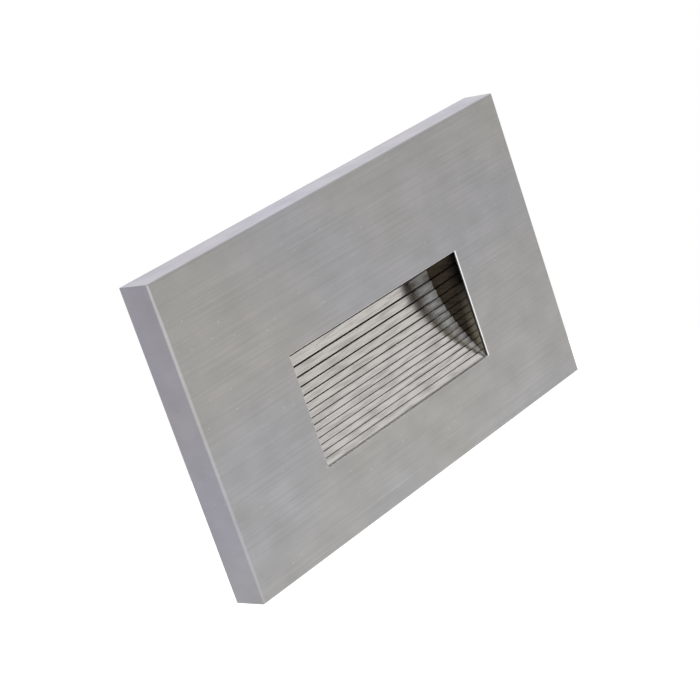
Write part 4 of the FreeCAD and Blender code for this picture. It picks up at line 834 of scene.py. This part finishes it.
@dataclass
class Moulding:
    """Closed forms gathered into one mesh, each form with the number of its finish."""

    spots: list[np.ndarray] = field(default_factory=list)
    faces: list[list[int]] = field(default_factory=list)
    kinds: list[int] = field(default_factory=list)
    sharp_deg: float = 50.0

    def add(self, spots: np.ndarray, faces: list[list[int]], kind: int) -> None:
        """Adds one form.

        Args:
            spots: its points, in millimetres.
            faces: its faces, counted from its own first point.
            kind: the number of its finish.
        """
        start = sum(len(group) for group in self.spots)
        self.spots.append(spots)
        self.faces += [[start + corner for corner in face] for face in faces]
        self.kinds += [kind] * len(faces)

    def prism(self, outline: np.ndarray, limits: tuple[float, float], kind: int = 0,
              marked: np.ndarray | None = None, mark: int = 0) -> None:
        """Carries a closed outline straight along X and caps both ends.

        Args:
            outline: points in y and z.
            limits: where it starts and ends.
            kind: the number of its finish.
            marked: the sides that have another finish, counted from the outline's first point.
            mark: the number of that finish.
        """
        count = len(outline)
        ends = [np.insert(outline, 0, limit, axis=1) for limit in limits]
        here = np.arange(count)
        there = (here + 1) % count
        sides = np.stack([here, there, there + count, here + count], axis=1).tolist()
        start = len(self.kinds)
        self.add(np.concatenate(ends), sides + [here.tolist(), (here[::-1] + count).tolist()], kind)
        for side in () if marked is None else marked.tolist():
            self.kinds[start + side] = mark

    def ring(self, inner: np.ndarray, outer: np.ndarray, limits: tuple[float, float]) -> None:
        """A flat plate across Y with a hole: an outer and an inner loop at each limit, joined round.

        Args:
            inner: the hole's outline in x and z.
            outer: the plate's outline, with as many points.
            limits: the plate's two faces.
        """
        count = len(inner)
        loops = [(outer, limits[0]), (inner, limits[0]), (inner, limits[1]), (outer, limits[1])]
        spots = np.concatenate([np.insert(loop, 1, limit, axis=1) for loop, limit in loops])
        index = np.pad(np.arange(4 * count).reshape(4, count), ((0, 1), (0, 1)), mode="wrap")
        self.add(spots, quads(index).reshape(-1, 4).tolist(), 0)

    def make(self, name: str, edge_mm: float, finishes: tuple[str, ...]) -> Object:
        """Makes the object, turns its faces outwards, breaks its sharp edges and dresses it.

        Args:
            name: the object's name.
            edge_mm: how wide an edge is broken.
            finishes: finish names by number.
        Returns:
            The object.
        """
        mesh = bpy.data.meshes.new(name)
        mesh.from_pydata((np.concatenate(self.spots) * MM).tolist(), [], self.faces)
        mesh.polygons.foreach_set("material_index", np.array(self.kinds, np.int32))
        work = bmesh.new()
        work.from_mesh(mesh)
        bmesh.ops.recalc_face_normals(work, faces=work.faces)
        work.to_mesh(mesh)
        work.free()
        mesh.shade_smooth()
        made = put(name, mesh)
        bevel = made.modifiers.new("edges", "BEVEL")
        bevel.width = edge_mm * MM
        bevel.segments = 2
        bevel.limit_method = "ANGLE"
        bevel.angle_limit = math.radians(self.sharp_deg)
        weighted = made.modifiers.new("flats", "WEIGHTED_NORMAL")
        weighted.keep_sharp = True
        for finish in finishes:
            mesh.materials.append(FINISHES[finish].material())
        return made


@dataclass
class Reflector:
    """The bright stepped scoop with its two cheeks, the rim behind the window and the two ears."""

    front_y: float = -8.6
    bottom: float = -18.2
    window_height: float = 25.4
    top: float = 8.9
    depth: float = 10.2
    lip_depth: float = 0.8
    vertex_drop: float = 1.9
    steps: int = 14
    pitch: float = 1.2
    top_drop: float = 3.7
    growth: float = 4.4
    wall: float = 1.0
    cheek_x: float = 28.7
    rim_y: tuple[float, float] = (-7.7, -6.9)
    rim_width: float = 2.6
    ear_y: tuple[float, float] = (-3.9, -2.7)
    ear: Triple = (35.4, -12.0, 1.05)
    ear_half: Triple = (6.2, 2.5, 3.0)
    lip_gap: float = 0.15
    step: float = 0.4
    nose: float = 0.1
    nose_rows: int = 4
    slot: tuple[float, float] = (0.07, 0.32)
    slot_depth: float = 0.3
    draft_deg: float = 1.5
    foot_share: float = 1.7
    foot_drop: float = 1.0
    back_drop: float = 0.6
    web_half: float = 0.5
    back_rows: int = 25
    hole_rows: int = 24

    def sunk(self, height: np.ndarray) -> np.ndarray:
        """Depth at a height: the full depth less a share of the squared distance below the vertex."""
        vertex = self.window_height - self.vertex_drop
        return self.depth - (self.depth - self.lip_depth) * (np.maximum(vertex - height, 0) / vertex) ** 2

    def stairs(self) -> tuple[np.ndarray, np.ndarray]:
        """The stepped front outline from the lip up, as (y, z) rows, and which of its sides get painted
        shade.

        Ledge i lies at pitch * i plus what is left of the window's height times (i / steps) ^ growth. Its run
        is the scoop's slope over one tread, but no more than step, and its middle lies on the scoop's curve,
        so the lower treads lean back. Each nose is a quarter circle. Each root is a slot into the tread's
        foot, whose height grows with the fourth power of i, and its sides are painted dark as shade.

        Returns:
            The outline, and the numbers of the sides with painted shade.
        """
        i = np.arange(self.steps + 1)
        spare = self.window_height - self.top_drop - self.steps * self.pitch
        ledge = np.append(self.pitch * i + spare * (i / self.steps) ** self.growth, self.top - self.bottom)
        run = np.minimum(np.diff(self.sunk((ledge[:-1] + ledge[1:]) / 2)), self.step)[:, None]
        middle_y = self.front_y + self.sunk(ledge[1:-1, None])
        level = self.bottom + ledge[1:-1, None]
        a = np.linspace(0, math.pi / 2, self.nose_rows)[None, :]
        r = np.minimum(self.nose, 0.4 * run)
        noses = np.stack([middle_y - run / 2 + r * (1 - np.cos(a)), level - r * (1 - np.sin(a))], axis=-1)
        slot = self.slot[0] + (self.slot[1] - self.slot[0]) * (i[1:, None] / self.steps) ** 4
        into, rise = np.array([[0.0, 1.0, 1.0, 0.0]]), np.array([[0.0, 0.0, 1.0, 1.0]])
        roots = np.stack([middle_y + run / 2 + self.slot_depth * into, level + slot * rise], axis=-1)
        ledges = np.concatenate([noses, roots], axis=1)
        # the three sides of a slot follow its ledge's nose, and the lip's point comes before them all
        shaded_slot_sides = (1 + np.arange(self.steps)[:, None] * ledges.shape[1] + self.nose_rows + np.arange(3)).ravel()
        ends = self.front_y + self.lip_depth + self.lip_gap, self.front_y + self.depth
        outline = [[[ends[0], self.bottom]], ledges.reshape(-1, 2), [[ends[1], self.top]]]
        return np.concatenate(outline), shaded_slot_sides

    def back(self) -> np.ndarray:
        """The smooth back outline from the top down: the depth plus a wall that thins evenly upwards.

        Returns:
            The outline as (y, z) rows.
        """
        tall = self.top - self.bottom
        height = tall * np.linspace(1.0, 0.0, self.back_rows)
        level = self.bottom + height - self.back_drop
        level[0] = self.top
        wall = self.wall * (self.foot_share - (self.foot_share - 1) * height / tall)
        return np.stack([self.front_y + self.sunk(height) + wall, level], axis=1)

    def build(self) -> Object:
        """Makes the scoop, cheeks, rim, ears and webs as one moulding.

        Returns:
            The reflector, which replaces its CAD node.
        """
        back, foot_z = self.back(), self.bottom - self.foot_drop
        foot = np.array([(self.rim_y[1], foot_z), (self.rim_y[0], foot_z), (self.rim_y[0], self.bottom)])
        cheek = np.concatenate([[[self.rim_y[0], self.top]], back, foot[:2]])
        moulding = Moulding()
        outer = self.cheek_x + self.wall
        stairs, shaded_slot_sides = self.stairs()
        floor = np.concatenate([stairs, back, foot])
        # the slots' sides take the dark finish, which is painted shade
        moulding.prism(floor, (-outer + 0.1, outer - 0.1), marked=shaded_slot_sides, mark=2)
        x, z, w = self.cheek_x, (self.bottom, self.bottom + self.window_height), self.rim_width
        window = np.array([(-x, z[0]), (x, z[0]), (x, z[1]), (-x, z[1])])
        border = np.array([(-x - w, z[0] - w), (x + w, z[0] - w), (x + w, self.top), (-x - w, self.top)])
        moulding.ring(window, border, self.rim_y)
        for side in (-1, 1):
            self.add_cheek(moulding, cheek, side)
            moulding.ring(*self.ear_loops(side), self.ear_y)
            low, high = self.ear[1] - self.web_half, self.ear[1] + self.web_half
            web = np.array([(self.rim_y[0], low), (self.ear_y[1], low),
                            (self.ear_y[1], high), (self.rim_y[0], high)])
            moulding.prism(web, (side * (outer - 0.5), side * (outer + 1.5)))
        made = moulding.make("reflector_scoop", 0.05, ("bright_reflector", "painted_cheek_shade", "root_slot_shade"))
        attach(made, "fixture")
        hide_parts("reflector")
        return made

    def add_cheek(self, moulding: Moulding, outline: np.ndarray, side: int) -> None:
        """Adds one cheek: a plate whose inner face leans in by its draft, as far as it is deep.

        Args:
            moulding: where it goes.
            outline: its outline in y and z.
            side: -1 for the left and 1 for the right.
        """
        moulding.prism(outline, (side * self.cheek_x, side * (self.cheek_x + self.wall)), kind=1)
        spots = moulding.spots[-1]
        inner = np.abs(spots[:, 0]) < self.cheek_x + 0.5 * self.wall
        spots[inner, 0] -= side * math.tan(math.radians(self.draft_deg)) * (spots[inner, 1] - self.rim_y[0])

    def ear_loops(self, side: int) -> tuple[np.ndarray, np.ndarray]:
        """The screw hole's circle and the ear's rectangle, met along the same rays from the hole's middle.

        Args:
            side: -1 for the left and 1 for the right.
        Returns:
            The hole's outline and the ear's, in x and z.
        """
        x, z, radius = self.ear
        inward, outward, half = self.ear_half
        corners = np.arctan2([half, half, -half, -half], [outward, -inward, -inward, outward])
        even = np.linspace(-math.pi, math.pi, self.hole_rows, endpoint=False)
        angle = np.sort(np.concatenate([even, corners]))
        c, s = np.cos(angle), np.sin(angle)
        reach = 1 / np.maximum(np.where(c > 0, c / outward, -c / inward), np.abs(s) / half)
        hole, edge = (np.stack([side * (x + out * c), z + out * s], axis=1) for out in (radius, reach))
        return hole, edge


@dataclass
class Carcass:
    """The yoke, the housing, its cover and the moulded parts between them."""

    copies: tuple[SoftCopy, ...] = (
        SoftCopy("yoke", "zinc_steel", 0.12),
        SoftCopy("housing", "cast_housing", 0.35, Edge.ROUNDED),
        SoftCopy("rear_cover", "cast_housing", 0.35, Edge.ROUNDED),
        SoftCopy("lens_frame", "white_moulding", 0.12, Edge.ROUNDED),
        SoftCopy("terminal_body", "terminal_green", 0.15, Edge.ROUNDED),
        SoftCopy("heat_sink", "raw_aluminium", 0.10),
        SoftCopy("cover_gasket", "black_rubber", 0.12, Edge.ROUNDED),
        SoftCopy("wall_gasket", "black_foam", 0.15, Edge.ROUNDED),
    )

    def build(self, nodes: Nodes) -> list[Object]:
        """Makes every softened copy."""
        return [copy.build(nodes) for copy in self.copies]


class Side(Enum):
    """Which of the two wall-box screws it is, and the sign of its X."""

    LEFT = -1
    RIGHT = 1


@dataclass
class ThreadedScrew:
    """A wall-box screw: the CAD node's head and neck, with a rolled thread in place of its plain shank."""

    side: Side
    spacing: float = 83.3
    neck_end: float = -0.05
    start_y: float = -0.3
    end_y: float = 16.35
    major: float = 1.75
    minor: float = 1.3
    pitch: float = 0.794
    root: float = 0.2
    flank: float = 0.55
    columns: int = 32
    turn_rows: int = 10
    sharp_deg: float = 35.0

    def surface(self) -> np.ndarray:
        """The thread's skin as rows along y by columns round the axis.

        The phase is y / pitch - angle / (2 pi). A tooth is a triangle wave of the phase, cut flat at root and
        crest, and it fades in over the first turn and out over the last one.

        Returns:
            The skin's points.
        """
        rows = int((self.end_y - self.start_y) / self.pitch * self.turn_rows)
        y = np.linspace(self.start_y, self.end_y, rows)
        y, angle = np.meshgrid(y, np.linspace(0.0, 2 * math.pi, self.columns, endpoint=False), indexing="ij")
        tooth = np.abs(2 * ((y / self.pitch - angle / (2 * math.pi)) % 1.0) - 1)
        fade = np.clip(np.minimum(y, self.end_y - y) / self.pitch, 0, 1)
        height = np.clip((tooth - self.root) / self.flank, 0, 1) * fade
        radius = self.minor + (self.major - self.minor) * height
        middle = self.side.value * self.spacing / 2
        return np.stack([middle + radius * np.cos(angle), y, radius * np.sin(angle)], axis=-1)

    def build(self, nodes: Nodes) -> Object:
        """Cuts the node's copy off at the end of its neck and adds the thread.

        Args:
            nodes: the CAD node objects by name.
        Returns:
            The screw, which replaces the node.
        """
        side = self.side.name.lower()
        node = "box_screw_" + side
        spots = self.surface()
        index = np.arange(spots.size // 3).reshape(spots.shape[:2])
        sides = quads(np.pad(index, ((0, 0), (0, 1)), mode="wrap")).reshape(-1, 4).tolist()
        thread = bpy.data.meshes.new(node + "_thread")
        thread.from_pydata((spots.reshape(-1, 3) * MM).tolist(), [], sides + index[[0, -1]].tolist())
        work = bmesh.new()
        work.from_mesh(nodes[node].data)
        bmesh.ops.remove_doubles(work, verts=work.verts, dist=MERGE_MM * MM)
        bmesh.ops.bisect_plane(work, geom=work.verts[:] + work.edges[:] + work.faces[:], clear_outer=True,
                               plane_co=(0, self.neck_end * MM, 0), plane_no=(0, 1, 0))
        bmesh.ops.holes_fill(work, edges=[edge for edge in work.edges if edge.is_boundary])
        work.from_mesh(thread)
        bmesh.ops.recalc_face_normals(work, faces=work.faces)
        mesh = bpy.data.meshes.new(node + "_threaded")
        work.to_mesh(mesh)
        work.free()
        mesh.shade_smooth()
        mesh.set_sharp_from_angle(angle=math.radians(self.sharp_deg))
        mesh.materials.append(FINISHES["screw_steel"].material())
        made = put(node + "_threaded", mesh)
        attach(made, side + "_box_screw")
        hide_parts(node)
        return made


@dataclass
class CarriedNodes:
    """The CAD nodes that keep their own mesh and get a real finish."""

    slots: dict[str, str] = field(default_factory=dict)

    def dress(self, nodes: Nodes) -> int:
        """Puts the finish of each node's slot on it.

        Args:
            nodes: the CAD node objects by name.
        Returns:
            How many nodes were dressed.
        """
        for name, thing in nodes.items():
            made = FINISHES[self.slots[name]].material()
            for place in thing.material_slots:
                place.material = made
        return len(nodes)


def main() -> None:
    """Loads the frame and builds the studio and the light's pieces in order."""
    logging.basicConfig(level=logging.INFO)
    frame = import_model()
    nodes = frame["nodes"]
    bpy.context.scene.view_settings.view_transform = "Standard"
    Studio().build()
    LOG.info("studio ready")
    slots = {part["node"]: part["material_slot"] for part in frame["record"]["subparts"]}
    LOG.info("nodes dressed: %d", CarriedNodes(slots).dress(nodes))
    pieces = [Faceplate().build(), Reflector().build(), *Carcass().build(nodes)]
    pieces += [ThreadedScrew(side).build(nodes) for side in Side]
    for piece in pieces:
        LOG.info("%s: %d faces", piece.name, len(piece.data.polygons))


if __name__ == "__main__":
    main()
